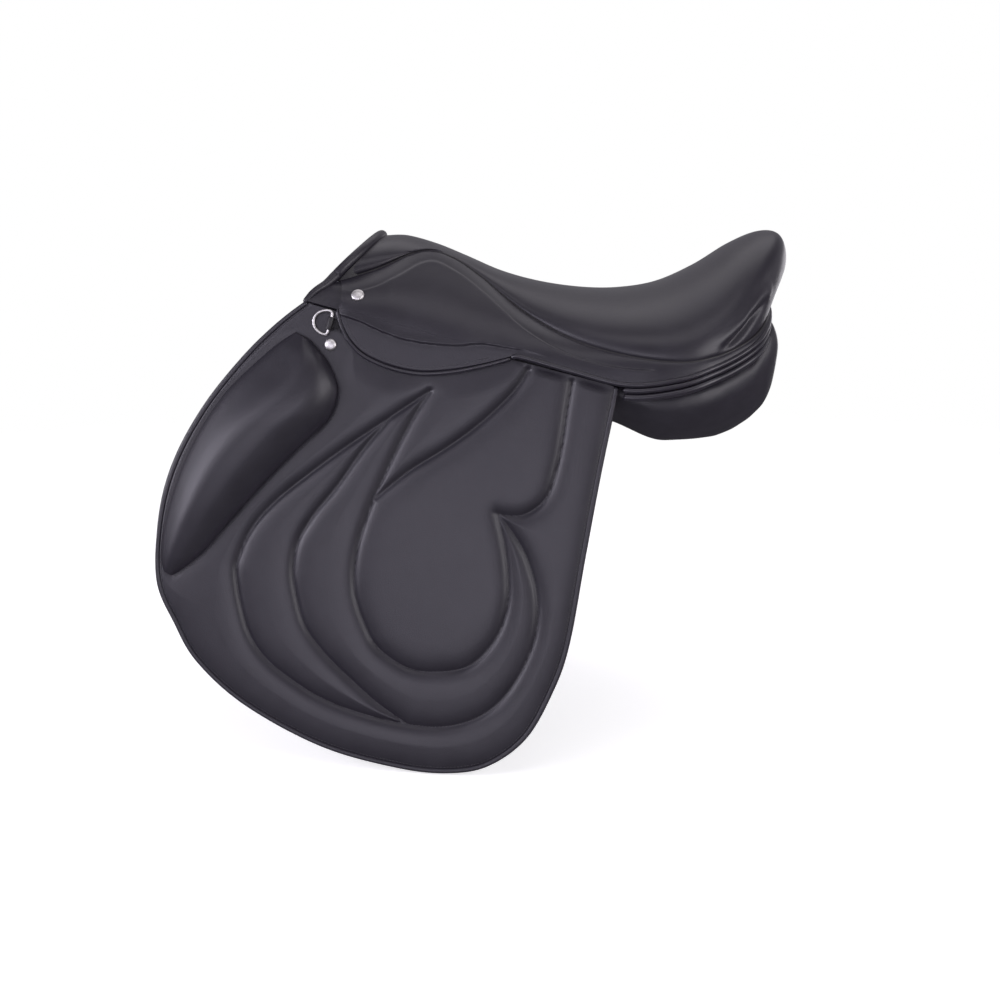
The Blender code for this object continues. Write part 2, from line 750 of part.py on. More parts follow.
def build_flap():
    edge = smooth(FLAP_EDGE, FLAP_EDGE_STEPS)
    inner = offset(edge, BINDING_WIDTH)
    core = offset(edge, BINDING_WIDTH + GAP)
    body = plate("left_flap", [hanging(notched(core))], FLAP_LAYER, FLAP_FRAME)
    round_edges(body, FLAP_ROUNDING)
    height = FLAP_LAYER[1] + CHANNEL_RADIUS - CHANNEL_DEPTH
    quilting = [QUILT_LONG, QUILT_MIDDLE, QUILT_INNER, QUILT_UPPER, QUILT_REAR]
    for number, line in enumerate(quilting):
        route = [(along, -down, height) for along, down in line]
        name = "left_quilt_channel_%d" % number
        combine(body, tube(name, route, CHANNEL_RADIUS, FLAP_FRAME, collection="cutters"))
    combine(body, build_chape_room())
    plate("left_flap_binding", [hanging(edge + inner[::-1])], FLAP_LAYER, FLAP_FRAME)


def build_knee_block():
    base = FLAP_LAYER[1] + GAP
    rings = []
    for front_u, front_v, rear_u, rear_v, height in smooth(KNEE_RIBS, KNEE_STEPS):
        ring = []
        for step in range(KNEE_SPAN_STEPS + 1):
            angle = math.pi * step / KNEE_SPAN_STEPS
            share = 0.5 - 0.5 * math.copysign(abs(math.cos(angle)) ** 0.8, math.cos(angle))
            rise = height * math.sin(angle) ** 0.8
            along = front_u + (rear_u - front_u) * share
            down = front_v + (rear_v - front_v) * share
            ring.append((along, -down, base + rise))
        rings.append(ring)
    return loft("left_knee_block", rings, FLAP_FRAME)


def build_sweat_flap():
    edge = smooth(SWEAT_FLAP_EDGE, 2)
    body = plate("left_sweat_flap", [hanging(notched(edge))], SWEAT_LAYER, FLAP_FRAME)
    round_edges(body, LEATHER_ROUNDING)


def circle(centre, radius, count, start=0.0, turn=2 * math.pi):
    """Points on a circle or arc, counted without its last point where the turn is a whole one."""
    whole = abs(turn) > 6.28
    steps = count if whole else count - 1
    return [
        (
            centre[0] + radius * math.cos(start + turn * step / steps),
            centre[1] + radius * math.sin(start + turn * step / steps),
        )
        for step in range(count)
    ]


def build_billets():
    """Three girth straps that hang plumb from one web, each on its own stitched top."""
    half = 0.5 * BILLET_WIDTH
    plumb = Matrix.Rotation(math.atan2(-ALONG.z, -DOWN.z), 4, "Z")
    pitch = BILLET_WIDTH + BILLET_SPACING
    stations = [BILLET_FRONT + pitch * number for number in range(3)]
    for place, station in zip(("front", "middle", "rear"), stations):
        frame = FLAP_FRAME @ Matrix.Translation(vec((station, -BILLET_PIVOT_DOWN, 0))) @ plumb
        outline = circle((0, 0), half, 9, 0, math.pi)
        outline += [(-half, -BILLET_LENGTH + BILLET_POINT), (-0.4 * half, -BILLET_LENGTH)]
        outline += [(0.4 * half, -BILLET_LENGTH), (half, -BILLET_LENGTH + BILLET_POINT)]
        holes = []
        for number in range(BILLET_HOLES):
            down = BILLET_LENGTH - BILLET_LAST_HOLE - BILLET_HOLE_PITCH * number
            holes.append(circle((0, -down), BILLET_HOLE_RADIUS, 6))
        plate("left_billet_" + place, [outline] + holes, BILLET_LAYER, frame)
    bottom = BILLET_PIVOT_DOWN - half - GAP
    front = stations[0] - half + BILLET_WEB_MARGIN
    rear = stations[-1] + half - BILLET_WEB_MARGIN
    web = [(front, BILLET_WEB_TOP), (front, bottom), (rear, bottom), (rear, BILLET_WEB_TOP)]
    plate("left_billet_web", [hanging(web)], BILLET_LAYER, FLAP_FRAME, "web")


def under_tree(station, out):
    """How far above the hinge line the tree's underside lies, at one place of the bar's plate."""
    low, high = -CUT_MARGIN, CUT_MARGIN
    for _ in range(40):
        middle = 0.5 * (low + high)
        x, y, z = hinge_point(station, middle, out)
        if z > deck(x, y) + TREE_LAYER[0]:
            low = middle
        else:
            high = middle
    return high


def bar_layers():
    rod = (-BAR_FACE - BAR_THICKNESS, -BAR_FACE)
    slot_floor = rod[0] - BAR_SLOT
    return rod, (slot_floor - BAR_PLATE_THICKNESS, slot_floor)


def catch_place():
    return (BAR_REAR, BAR_TOP + 0.5 * BAR_WIDTH)


def build_stirrup_bar():
    """Bar, post and back plate as one forging, open at the rear for the leather to slip off."""
    rod_layer, plate_layer = bar_layers()
    stations = [BAR_FRONT, 0.5 * (BAR_FRONT + BAR_REAR), BAR_REAR]
    top = [(station, under_tree(station, plate_layer[1]) + DECK_GAP) for station in stations]
    outline = top + [(BAR_REAR, BAR_PLATE_BOTTOM), (BAR_FRONT, BAR_PLATE_BOTTOM)]
    body = plate("left_stirrup_bar", [hanging(outline)], plate_layer, FLAP_FRAME, "steel")
    bottom = BAR_TOP + BAR_WIDTH
    rod = [(BAR_FRONT, BAR_TOP), (BAR_FRONT, bottom)]
    rod += circle(catch_place(), 0.5 * BAR_WIDTH, 9, math.pi / 2, -math.pi)
    hole = circle(catch_place(), CATCH_PIN_RADIUS + GAP, 12)
    arm = plate(
        "left_bar_arm", [hanging(rod), hanging(hole)], rod_layer, FLAP_FRAME, collection="cutters"
    )
    combine(body, arm, "UNION")
    post_rear = BAR_FRONT + BAR_POST
    post = [(BAR_FRONT, BAR_TOP), (BAR_FRONT, bottom), (post_rear, bottom), (post_rear, BAR_TOP)]
    depth = (plate_layer[0] + BAR_OVERLAP, rod_layer[1] - BAR_OVERLAP)
    post = plate("left_bar_post", [hanging(post)], depth, FLAP_FRAME, collection="cutters")
    combine(body, post, "UNION")


def build_bar_catch():
    """Small tongue on the bar's rear end. Shut, it stands up and keeps the leather on."""
    along, down = catch_place()
    frame = FLAP_FRAME @ Matrix.Translation(vec((along, -down, 0)))
    half = 0.5 * CATCH_WIDTH
    outline = circle((0, CATCH_REACH), half, 5, 0, math.pi)
    outline += circle((0, 0), half, 5, math.pi, math.pi)
    hole = circle((0, 0), CATCH_PIN_RADIUS + GAP, 12)
    rod_top = bar_layers()[0][1]
    layer = (rod_top + GAP, rod_top + GAP + CATCH_THICKNESS)
    plate("left_bar_catch", [outline, hole], layer, frame, "steel")
    pin_layer = (bar_layers()[0][0] + GAP, layer[1])
    plate("left_catch_pin", [circle((0, 0), CATCH_PIN_RADIUS, 12)], pin_layer, frame, "steel")


def dee_height():
    """Height of the dee's wire over the hinge line, where it lies on the flap."""
    return FLAP_LAYER[1] + GAP + DEE_WIRE_RADIUS


def build_dee_ring():
    frame = FLAP_FRAME @ Matrix.Translation(vec((DEE_ALONG, -DEE_DOWN, dee_height())))
    half = 0.5 * DEE_HEIGHT
    bend = 0.3 * DEE_CORNER
    route = [(0, half - DEE_CORNER), (0, DEE_CORNER - half), (-bend, bend - half)]
    for step in range(11):
        angle = -math.pi / 2 - math.pi * step / 10
        reach = (DEE_REACH - DEE_CORNER) * math.cos(angle) - DEE_CORNER
        route.append((reach, half * math.sin(angle)))
    route.append((-bend, half - bend))
    path = [(u, v, 0) for u, v in route]
    tube("left_dee_ring", path, DEE_WIRE_RADIUS, frame, "steel", closed=True, sides=2)


def chape_outline(grow):
    """Side view of the chape: an eye round the wire and a tail along the flap."""
    eye = DEE_WIRE_RADIUS + GAP + CHAPE_THICKNESS + grow
    tail_top = -eye + CHAPE_THICKNESS + 2 * grow
    start = math.asin(tail_top / eye)
    arc = circle((0, 0), eye, 15, start, 2 * math.pi - (start + math.pi / 2) - 1e-6)
    return arc + [(CHAPE_TAIL + grow, -eye), (CHAPE_TAIL + grow, tail_top)]


def chape_frame():
    """X along the hinge line, Y outwards and Z up the flap, at the dee's straight side."""
    lay = Matrix(((1, 0, 0), (0, 0, -1), (0, 1, 0))).to_4x4()
    return FLAP_FRAME @ Matrix.Translation(vec((DEE_ALONG, -DEE_DOWN, dee_height()))) @ lay


def build_dee_chape():
    half = 0.5 * CHAPE_WIDTH
    eye = circle((0, 0), DEE_WIRE_RADIUS + GAP, 10)
    plate("left_dee_chape", [chape_outline(0.0), eye], (-half, half), chape_frame())


def build_chape_room():
    """Room for the chape in the flap, a gap larger all round."""
    half = 0.5 * CHAPE_WIDTH + GAP
    layer = (-half, half)
    return plate("left_chape_room", [chape_outline(GAP)], layer, chape_frame(), collection="cutters")


def domed_nail(name, radius, frame):
    """A nail's head: a turned dome with a flat underside."""
    profile = [(0, NAIL_DOME)]
    for step in range(1, 5):
        angle = math.pi / 2 * step / 4
        rise = NAIL_RIM + (NAIL_DOME - NAIL_RIM) * math.cos(angle)
        profile.append((radius * math.sin(angle), rise))
    profile += [(radius, 0), (0, 0)]
    mesh = bpy.data.meshes.new(name)
    edges = [(index, index + 1) for index in range(len(profile) - 1)]
    mesh.from_pydata([(x * MM, 0, z * MM) for x, z in profile], edges, [])
    body = add_object(name, mesh, frame, "steel")
    turn = body.modifiers.new("Turned", "SCREW")
    turn.axis = "Z"
    turn.steps = NAIL_STEPS
    turn.render_steps = NAIL_STEPS
    turn.use_merge_vertices = True
    turn.merge_threshold = 0.01 * MM
    return body


def build_nails():
    along, down = STUD_PLACE
    stud_place = Matrix.Translation(vec((along, -down, FLAP_LAYER[1] + GAP)))
    domed_nail("left_flap_stud", STUD_RADIUS, FLAP_FRAME @ stud_place)
    rows = smooth(skirt_rows()[:3], HEAD_NAIL_ROWS)
    row = rows[HEAD_NAIL_ROW]
    ahead = rows[HEAD_NAIL_ROW + 4]
    place = Vector(skirt_point(row, HEAD_NAIL_FALL))
    fall = Vector(skirt_point(row, HEAD_NAIL_FALL + HEAD_NAIL_STEP)) - place
    along = Vector(skirt_point(ahead, HEAD_NAIL_FALL)) - place
    out = fall.cross(along).normalized()
    side = along.normalized()
    frame = Matrix((side, out.cross(side), out)).transposed().to_4x4()
    frame.translation = (place + out * 0.5 * SEAM_GAP) * MM
    domed_nail("left_head_nail", NAIL_RADIUS, frame)


def box(name, low, high, frame=None):
    """A box-shaped cutter between two corners."""
    outline = [(low[0], low[1]), (high[0], low[1]), (high[0], high[1]), (low[0], high[1])]
    return plate(name, [outline], (low[2], high[2]), frame or Matrix(), collection="cutters")


def build_panels():
    """Near panel: a crowned pad, cut away where it seats on tree, arch, sweat flap and back."""
    rings = []
    for x, inner_low, outer_low, outer_high, inner_high in PANEL_RIBS:
        corners = [inner_low, outer_low, outer_high, inner_high]
        middle_y = sum(corner[0] for corner in corners) / 4
        middle_z = sum(corner[1] for corner in corners) / 4
        ring = []
        for corner, after in zip(corners, corners[1:] + corners[:1]):
            ring.append((x, -corner[0], corner[1]))
            edge = Vector(((corner[0] + after[0]) / 2, (corner[1] + after[1]) / 2))
            out = (edge - Vector((middle_y, middle_z))).normalized() * PANEL_BULGE
            ring.append((x, -(edge.x + out.x), edge.y + out.y))
        rings.append(ring)
    body = loft("left_panel", rings)
    swell = body.modifiers.new("Swell", "SUBSURF")
    swell.levels = 1
    swell.render_levels = 1
    combine(body, build_deck_room())
    depth = max(down for _, down in SWEAT_FLAP_EDGE) + CUT_MARGIN
    low = (SWEAT_FLAP_EDGE[0][0] - FLAP_ROOM_EASE, -depth, SWEAT_LAYER[0] - GAP)
    high = (FLAP_EDGE[-1][0] + FLAP_ROOM_EASE, FLAP_ROOM_EASE, CUT_MARGIN)
    combine(body, box("left_flap_room", low, high, FLAP_FRAME))
    combine(body, build_arch_room())
    low = (BAR_FRONT - GAP, -BAR_PLATE_BOTTOM - GAP, bar_layers()[1][0] - GAP)
    combine(body, box("left_bar_room", low, (BAR_REAR + GAP, CUT_MARGIN, CUT_MARGIN), FLAP_FRAME))
    low = (-DECK_ROOM_REACH, -DECK_ROOM_WIDTH, -CUT_MARGIN)
    combine(body, box("left_bearing_plane", low, (DECK_ROOM_REACH, 0, 0)))


def build_deck_room():
    """Everything from the tree's underside upwards, which the panels stay below."""
    across = [-DECK_ROOM_WIDTH * step / 8 for step in range(9)]
    rings = []
    for step in range(DECK_ROOM_STEPS + 1):
        x = DECK_ROOM_REACH * (2 * step / DECK_ROOM_STEPS - 1)
        lower = [(x, y, deck(x, y) + TREE_LAYER[0] - PANEL_EASE) for y in across]
        upper = [(x, y, DECK_ROOM_TOP) for y in reversed(across)]
        rings.append(lower + upper)
    return loft("left_deck_room", rings, collection="cutters")


def mirror_to_right(body):
    """The right twin of a left piece, in its own mirrored place."""
    flip = Matrix.Scale(-1, 4, (0, 0, 1))
    across = Matrix.Scale(-1, 4, (0, 1, 0))
    mesh = evaluated_mesh(body)
    mesh.transform(flip)
    mesh.flip_normals()
    name = body.name.replace("left_", "right_", 1)
    finish = body["finish"]
    return add_object(name, mesh, across @ body.matrix_world @ flip, finish)


def prepare_scene():
    for body in list(bpy.data.objects):
        bpy.data.objects.remove(body, do_unlink=True)
    for key, name in (("part", "jumping_saddle"), ("cutters", "cutters")):
        COLLECTIONS[key] = bpy.data.collections.new(name)
        bpy.context.scene.collection.children.link(COLLECTIONS[key])


def main():
    prepare_scene()
    build_tree()
    deck_sheet("head_plate", HEAD_PLATE_SPAN_X, HEAD_PLATE_HALF_WIDTH, HEAD_PLATE_LAYER, (2, 5), "steel")
    deck_sheet("web_long", WEB_LONG_SPAN_X, WEB_LONG_HALF_WIDTH, LONG_LAYER, (16, 3), "web")
    deck_sheet("web_cross", WEB_CROSS_SPAN_X, WEB_CROSS_HALF_WIDTH, CROSS_LAYER, (2, 6), "web")
    build_gullet_plate()
    build_seat_foam()
    build_seat_cover()
    build_pommel_roll()
    build_welts()
    build_skirt_top()
    build_point_cover()
    build_skirt()
    build_flap()
    build_knee_block()
    build_sweat_flap()
    build_billets()
    build_stirrup_bar()
    build_bar_catch()
    build_dee_ring()
    build_dee_chape()
    build_nails()
    build_panels()
    bpy.context.view_layer.update()
    for body in list(COLLECTIONS["part"].objects):
        if body.name.startswith("left_"):
            mirror_to_right(body)


main()
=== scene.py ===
"""Jumping saddle in black leather: pieces, finishes, floor, light and camera."""

import math
from contextlib import contextmanager

import bpy
import numpy as np
from mathutils import Matrix, Vector


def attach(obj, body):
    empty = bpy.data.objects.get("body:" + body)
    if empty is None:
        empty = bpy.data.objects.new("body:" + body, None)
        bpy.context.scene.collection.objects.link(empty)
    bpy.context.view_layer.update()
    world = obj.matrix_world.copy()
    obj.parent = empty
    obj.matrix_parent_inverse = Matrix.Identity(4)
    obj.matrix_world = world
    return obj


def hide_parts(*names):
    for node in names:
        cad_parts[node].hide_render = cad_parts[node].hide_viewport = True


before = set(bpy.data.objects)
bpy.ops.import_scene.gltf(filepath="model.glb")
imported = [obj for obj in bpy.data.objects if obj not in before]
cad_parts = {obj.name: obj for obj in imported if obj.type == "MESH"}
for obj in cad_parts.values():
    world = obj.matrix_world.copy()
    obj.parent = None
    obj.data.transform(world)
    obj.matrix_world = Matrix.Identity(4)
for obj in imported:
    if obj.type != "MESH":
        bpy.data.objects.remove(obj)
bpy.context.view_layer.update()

MM = 0.001
# How near points of a fine piece and of a large skin merge, in millimetres
FINE_WELD = 0.01
SKIN_WELD = 0.02
# Shares of its radius that a slimmed cord keeps at its ends, and a rounded one at its tips
SLIM_SHARE = 0.55
TIP_SHARE = 0.02
# Stitches, and how far apart their beads are repeated before they are laid
STITCH_PITCH = 3.4
STITCH_LENGTH = 2.3
STITCH_RADIUS = 0.32
BEADS_APART = 3

# The line that flap and skirt fold about, and the flap's three directions
HINGE_FRONT = Vector((-245.0, -114.0, 136.5))
HINGE_REAR = Vector((64.0, -170.0, 56.0))
FLAP_SPLAY = math.radians(11.5)
ALONG = (HINGE_REAR - HINGE_FRONT).normalized()
PLUMB = Vector((0, -math.sin(FLAP_SPLAY), -math.cos(FLAP_SPLAY)))
DOWN = (PLUMB - ALONG * PLUMB.dot(ALONG)).normalized()
OUT = DOWN.cross(ALONG)

# Heights of the flap's layers over the hinge line, in millimetres
FLAP_TOP = -4.3
FLAP_BACK = -11.3
BILLET_TOP = -11.6
BILLET_BACK = -15.6
SWEAT_TOP = -15.9
SWEAT_BACK = -19.9

# Seat ribs: crown x, crown z, then the seam's x, half width and z
SEAT_RIBS = [
    (-190, 201.5, -231, 84, 158.5), (-168, 201.5, -195, 74.5, 169), (-137, 193, -150, 59, 187),
    (-104, 179.5, -120, 62, 181), (-67, 164, -88, 75, 161), (-25, 153, -45, 104, 127),
    (20, 147, 5, 138, 102), (60, 147, 55, 158, 89), (100, 154, 103, 164, 84),
    (140, 172, 135, 158, 88), (175, 194, 161, 142, 96), (204, 206, 184, 118, 107),
    (224, 203, 198, 90, 119), (232, 181, 206, 58, 128), (227, 156, 210, 28, 133.5),
    (213, 136, 212, 0, 135),
]
# Deck under the foam: x, height on the centre line, and its fall at a width from it
DECK_FALL_WIDTH = 100
DECK_RIBS = [
    (-235, 184, 40), (-200, 179, 40), (-147, 169, 40), (-110, 155, 34), (-68, 139, 25),
    (-20, 126, 18), (30, 118, 15), (100, 115, 15), (170, 120, 17), (215, 122, 17),
]
ROLL_RADIUS = 5.3
ROLL_TAIL = [
    (-243, 93, 154.5), (-251, 98.5, 149.5), (-256.5, 101.8, 145.3), (-259.8, 103.6, 141.6),
    (-262.6, 105, 138.4), (-264.8, 106, 135.6),
]
# Fold at the cantle's corner, on the seat's near side: a lit ridge over a dent, with strengths
CANTLE_RIDGE = [
    ((203, -94, 156), 0), ((197.3, -101.9, 149), 0.5), ((179.9, -123.1, 132.6), 1),
    ((167.3, -135.8, 119.9), 1), ((155.3, -145.8, 109.1), 0.5), ((140, -156, 98), 0),
]
CANTLE_DENT = [
    ((195, -104, 143), 0), ((187.1, -116, 134.1), 0.6), ((176.4, -128, 123.2), 1),
    ((166.3, -137.9, 111.3), 1), ((155.4, -146.6, 101.4), 0.8), ((140, -155, 93), 0),
]

# Lower edge of the fixed skirt: stations on the hinge line, then points in the open
SKIRT_STATIONS = [17, 50, 92, 126, 160]
SKIRT_LOWER_EDGE = [
    (-49, -150, 88.5), (1, -159, 75.5), (53, -169, 64), (103, -169, 69), (138, -160, 80),
    (166, -141, 91), (186, -120, 102), (200, -91, 115), (208, -58, 124.5), (212, -28, 130.5),
    (214, 0, 132),
]
# For each seat rib: the seam's point and the fixed skirt's lower edge, to the cantle's middle
SKIRT_ROWS = [
    (rib[2], -rib[3], rib[4], *edge) for rib, edge in zip(
        SEAT_RIBS,
        [HINGE_FRONT + ALONG * station - DOWN * 0.1 for station in SKIRT_STATIONS]
        + SKIRT_LOWER_EDGE)
]
# The skirt's bow outwards: a distance, and at most this share of its fall
SKIRT_BOW = 35
SKIRT_BOW_SHARE = 0.45
# The skirt's two creases: on its fixed part as rib number, share of the fall and strength, and
# the lower one's front part as along, down and strength
UPPER_CREASE = [
    (0.45, 0.52, 0.2), (1.0, 0.42, 0.8), (1.43, 0.30, 1), (1.85, 0.18, 1), (2.20, 0.13, 1),
    (2.60, 0.12, 1), (3.05, 0.14, 1), (3.68, 0.18, 1), (4.20, 0.26, 1), (4.75, 0.42, 1),
    (5.28, 0.53, 1), (5.80, 0.565, 1), (6.27, 0.54, 1), (6.75, 0.48, 1.2), (7.20, 0.43, 1.3),
    (7.50, 0.415, 0),
]
LOWER_CREASE_FRONT = [
    (18, 6.8, 0.2), (27, 6.8, 0.9), (42, 7.8, 1), (59, 10.6, 1), (75, 12.4, 1), (90, 12.8, 1),
    (113, 10.5, 1), (142, 4.6, 1), (153, 0.2, 1),
]
LOWER_CREASE_REAR = [(4.10, 0.955, 0.9), (4.65, 0.93, 0.6), (5.08, 0.90, 0.3), (5.5, 0.88, 0)]
SKIRT_EDGE = [
    (17, 0.3), (21, 8), (28, 18), (38, 28), (52, 36), (70, 40), (90, 41),
    (110, 39), (128, 34), (148, 26), (168, 16), (184, 7), (195, 0.3),
]

# Flap and sweat flap outlines, from the front top corner round to the rear one
FLAP_EDGE = [
    (-19, 1), (-40, 28), (-65, 70), (-91, 129), (-106, 191), (-106, 250), (-91, 312),
    (-61, 349), (-27, 380), (33, 407), (119, 423), (199, 420), (250, 409), (285, 390),
    (312, 354), (324, 305), (327, 255), (318, 165), (310, 82), (304, 1),
]
SWEAT_FLAP_EDGE = [
    (-23, 2), (-46, 31), (-71, 73), (-96, 130), (-111, 191), (-111, 248), (-96, 306),
    (-66, 340), (-30, 368), (33, 393), (119, 407), (199, 403), (262, 382), (300, 336),
    (311, 280), (306, 165), (297, 60), (294, 2),
]
NOTCH_EDGE = [(153, 20.5), (139, 27), (120, 31), (54, 31)]
BINDING_WIDTH = 4.7

# Quilt channels on the flap
QUILT_LONG = [
    (126, 54), (86, 100), (55, 136), (26, 173), (4, 204), (-10, 234), (-15, 262), (-12, 285),
    (12, 330), (38, 354), (75, 369), (110, 377), (150, 379), (192, 376), (228, 368), (256, 352),
    (276, 328), (288, 295), (292, 255), (284, 218), (265, 186), (245, 166), (224, 151),
]
QUILT_MIDDLE = [
    (95, 90), (78, 126), (62, 170), (47, 204), (39, 234), (42, 262), (51, 283), (69, 312),
    (95, 332), (125, 348), (160, 364), (194, 375),
]
QUILT_INNER = [
    (126, 54), (118, 80), (111, 112), (105, 146), (101, 173), (99, 198), (99, 223), (103, 249),
    (111, 270), (126, 292), (147, 312), (181, 322), (210, 317), (236, 304), (251, 282),
    (258, 256), (257, 228), (249, 201), (238, 176), (224, 151),
]
QUILT_UPPER = [(102, 171), (128, 135), (153, 108), (174, 83), (190, 60), (206, 32), (214, 8)]
QUILT_REAR = [
    (224, 151), (238, 149), (250, 144), (262, 130), (267, 112), (267, 88), (265, 63),
    (261, 34), (258, 8),
]

# Knee block ribs: front edge, rear edge (both on the flap) and height
KNEE_RIBS = [
    (-20, 34, -2, 39, 5), (-36, 51, 22, 56, 15), (-56, 80, 38, 80, 22), (-74, 113, 36, 109, 26),
    (-87, 152, 16, 142, 26), (-95, 195, -10, 188, 24), (-97, 235, -33, 234, 20),
    (-95, 268, -52, 272, 14), (-90, 291, -68, 294, 8), (-85, 301, -76, 303, 3),
]
# The knee pad's height across it, from its front edge to its rear one
KNEE_PROFILE = [
    (0, 0), (0.012, 0.2), (0.05, 0.37), (0.14, 0.58), (0.25, 0.79), (0.35, 0.935), (0.45, 1),
    (0.56, 0.99), (0.69, 0.91), (0.81, 0.73), (0.905, 0.49), (0.965, 0.26), (0.995, 0.1), (1, 0),
]
BILLET_STATIONS = {"front": 162.0, "middle": 194.0, "rear": 226.0}


def curve_at(rows, place):
    """The values at a place from 0 to 1 on the smooth curve through rows of numbers."""
    spans = len(rows) - 1
    index = min(int(place * spans), spans - 1)
    t = place * spans - index
    four = (rows[min(max(index + step, 0), spans)] for step in (-1, 0, 1, 2))
    return tuple(
        0.5 * (2 * b + (c - a) * t + (2 * a - 5 * b + 4 * c - d) * t * t
               + (3 * b - a - 3 * c + d) * t ** 3)
        for a, b, c, d in zip(*four)
    )


def curve(rows, count):
    return [curve_at(rows, step / count) for step in range(count + 1)]


def even(points, pitch):
    """Points at equal distances along a line of points."""
    points = np.array(points, float)
    steps = np.linalg.norm(np.diff(points, axis=0), axis=1)
    run = np.concatenate([[0], np.cumsum(steps)])
    count = max(int(round(run[-1] / pitch)), 2)
    stations = np.linspace(0, run[-1], count + 1)
    return [
        tuple(np.interp(station, run, points[:, axis]) for axis in range(points.shape[1]))
        for station in stations
    ]


def on_flap(along, down, out=0.0):
    """A place of the near flap, given in millimetres along, down and out from the hinge line."""
    return (HINGE_FRONT + ALONG * along + DOWN * down + OUT * out) * MM


def seat_point(rib, angle):
    crown_x, crown_z, seam_x, half_width, seam_z = rib
    share = math.cos(angle)
    return Vector((
        seam_x + (crown_x - seam_x) * share,
        half_width * math.sin(angle),
        seam_z + (crown_z - seam_z) * share,
    ))


def deck(x, y):
    """Height of the deck that carries the foam."""
    ribs = DECK_RIBS
    index = 0
    while index < len(ribs) - 2 and x > ribs[index + 1][0]:
        index += 1
    start, end = ribs[index], ribs[index + 1]
    before = ribs[max(index - 1, 0)]
    after = ribs[min(index + 2, len(ribs) - 1)]
    width = end[0] - start[0]
    share = (x - start[0]) / width
    leave = (end[1] - before[1]) / (end[0] - before[0]) * width
    arrive = (after[1] - start[1]) / (after[0] - start[0]) * width
    rise = end[1] - start[1]
    bend = (leave + arrive - 2 * rise) * share ** 3 + (3 * rise - 2 * leave - arrive) * share ** 2
    fall = start[2] + (end[2] - start[2]) * share
    return start[1] + leave * share + bend - fall * (y / DECK_FALL_WIDTH) ** 2


def skirt_point(row, share):
    seam = Vector(row[:3])
    edge = Vector(row[3:])
    bow = min(SKIRT_BOW, SKIRT_BOW_SHARE * (edge - seam).length)
    bend = edge - DOWN * bow
    return seam * (1 - share) ** 2 + bend * 2 * share * (1 - share) + edge * share ** 2


def soft_step(values, start, end):
    share = np.clip((values - start) / (end - start), 0, 1)
    return share * share * (3 - 2 * share)


def legs(points, line):
    """For each leg of a line of points: the share of it passed, and its place nearest to each."""
    for start, end in zip(line, line[1:]):
        start = np.array(start)
        run = np.array(end) - start
        share = np.clip(((points - start) @ run) / max(run @ run, 1e-9), 0, 1)
        yield share, start + share[:, None] * run


def distance_to(points, line):
    """How far each of many points lies from a line of points."""
    best = np.full(len(points), np.inf)
    for _, foot in legs(points, line):
        best = np.minimum(best, np.linalg.norm(points - foot, axis=1))
    return best


def nearest_on(points, line):
    """The nearest place on a line of points to each of many points, and how many legs on."""
    best = np.full(len(points), np.inf)
    feet = np.array(points)
    passed = np.zeros(len(points))
    for index, (share, foot) in enumerate(legs(points, line)):
        distance = np.linalg.norm(points - foot, axis=1)
        closer = distance < best
        best[closer] = distance[closer]
        feet[closer] = foot[closer]
        passed[closer] = index + share[closer]
    return feet, passed


def beside(points, line):
    """How far many places lie below a line of (point, strength) pairs, and its strength there."""
    middle, strengths = zip(*line)
    feet, passed = nearest_on(points, middle)
    away = points - feet
    down = np.linalg.norm(away, axis=1) * np.sign(away @ np.array(DOWN))
    return down, np.interp(passed, range(len(line)), strengths)


def inside(points, outline):
    """Which of many flat points lie inside a closed outline."""
    result = np.zeros(len(points), bool)
    x, y = points[:, 0], points[:, 1]
    for (ax, ay), (bx, by) in zip(outline, outline[1:] + outline[:1]):
        crosses = (ay > y) != (by > y)
        with np.errstate(divide="ignore", invalid="ignore"):
            at = (bx - ax) * (y - ay) / (by - ay) + ax
        result ^= crosses & (x < at)
    return result


def offset(points, distance):
    """An open outline moved sideways, inwards for one that runs down the front of a flap."""
    moved = []
    for index, point in enumerate(points):
        before = points[max(index - 1, 0)]
        after = points[min(index + 1, len(points) - 1)]
        du, dv = after[0] - before[0], after[1] - before[1]
        length = math.hypot(du, dv)
        moved.append((point[0] + distance * dv / length, point[1] - distance * du / length))
    return moved


def clear_selection():
    bpy.ops.object.select_all(action="DESELECT")


def only(piece):
    clear_selection()
    piece.select_set(True)
    bpy.context.view_layer.objects.active = piece


def named(name):
    """The piece that was just added, under its name."""
    piece = bpy.context.object
    piece.name = piece.data.name = name
    return piece


@contextmanager
def editing(piece, whole=True):
    """Edit mode, with the whole piece selected unless its own selection is kept."""
    only(piece)
    bpy.ops.object.mode_set(mode="EDIT")
    if whole:
        bpy.ops.mesh.select_all(action="SELECT")
    yield
    bpy.ops.object.mode_set(mode="OBJECT")


def places(piece):
    flat = np.empty(len(piece.data.vertices) * 3)
    piece.data.vertices.foreach_get("co", flat)
    return flat.reshape(-1, 3)


def put(piece, points):
    piece.data.vertices.foreach_set("co", np.asarray(points, float).ravel())
    piece.data.update()


def close_up(piece, weld=FINE_WELD):
    """Merges doubles and turns every face outwards."""
    with editing(piece):
        bpy.ops.mesh.remove_doubles(threshold=weld * MM)
        bpy.ops.mesh.normals_make_consistent(inside=False)


def cap_ends(piece):
    """Closes the open ends of a tube."""
    with editing(piece):
        bpy.ops.mesh.fill_holes(sides=0)
    close_up(piece)


def facing(piece, direction):
    """Turns an open skin over if it faces away from a direction."""
    total = sum((face.normal * face.area for face in piece.data.polygons), Vector())
    if total.dot(Vector(direction)) < 0:
        with editing(piece):
            bpy.ops.mesh.flip_normals()


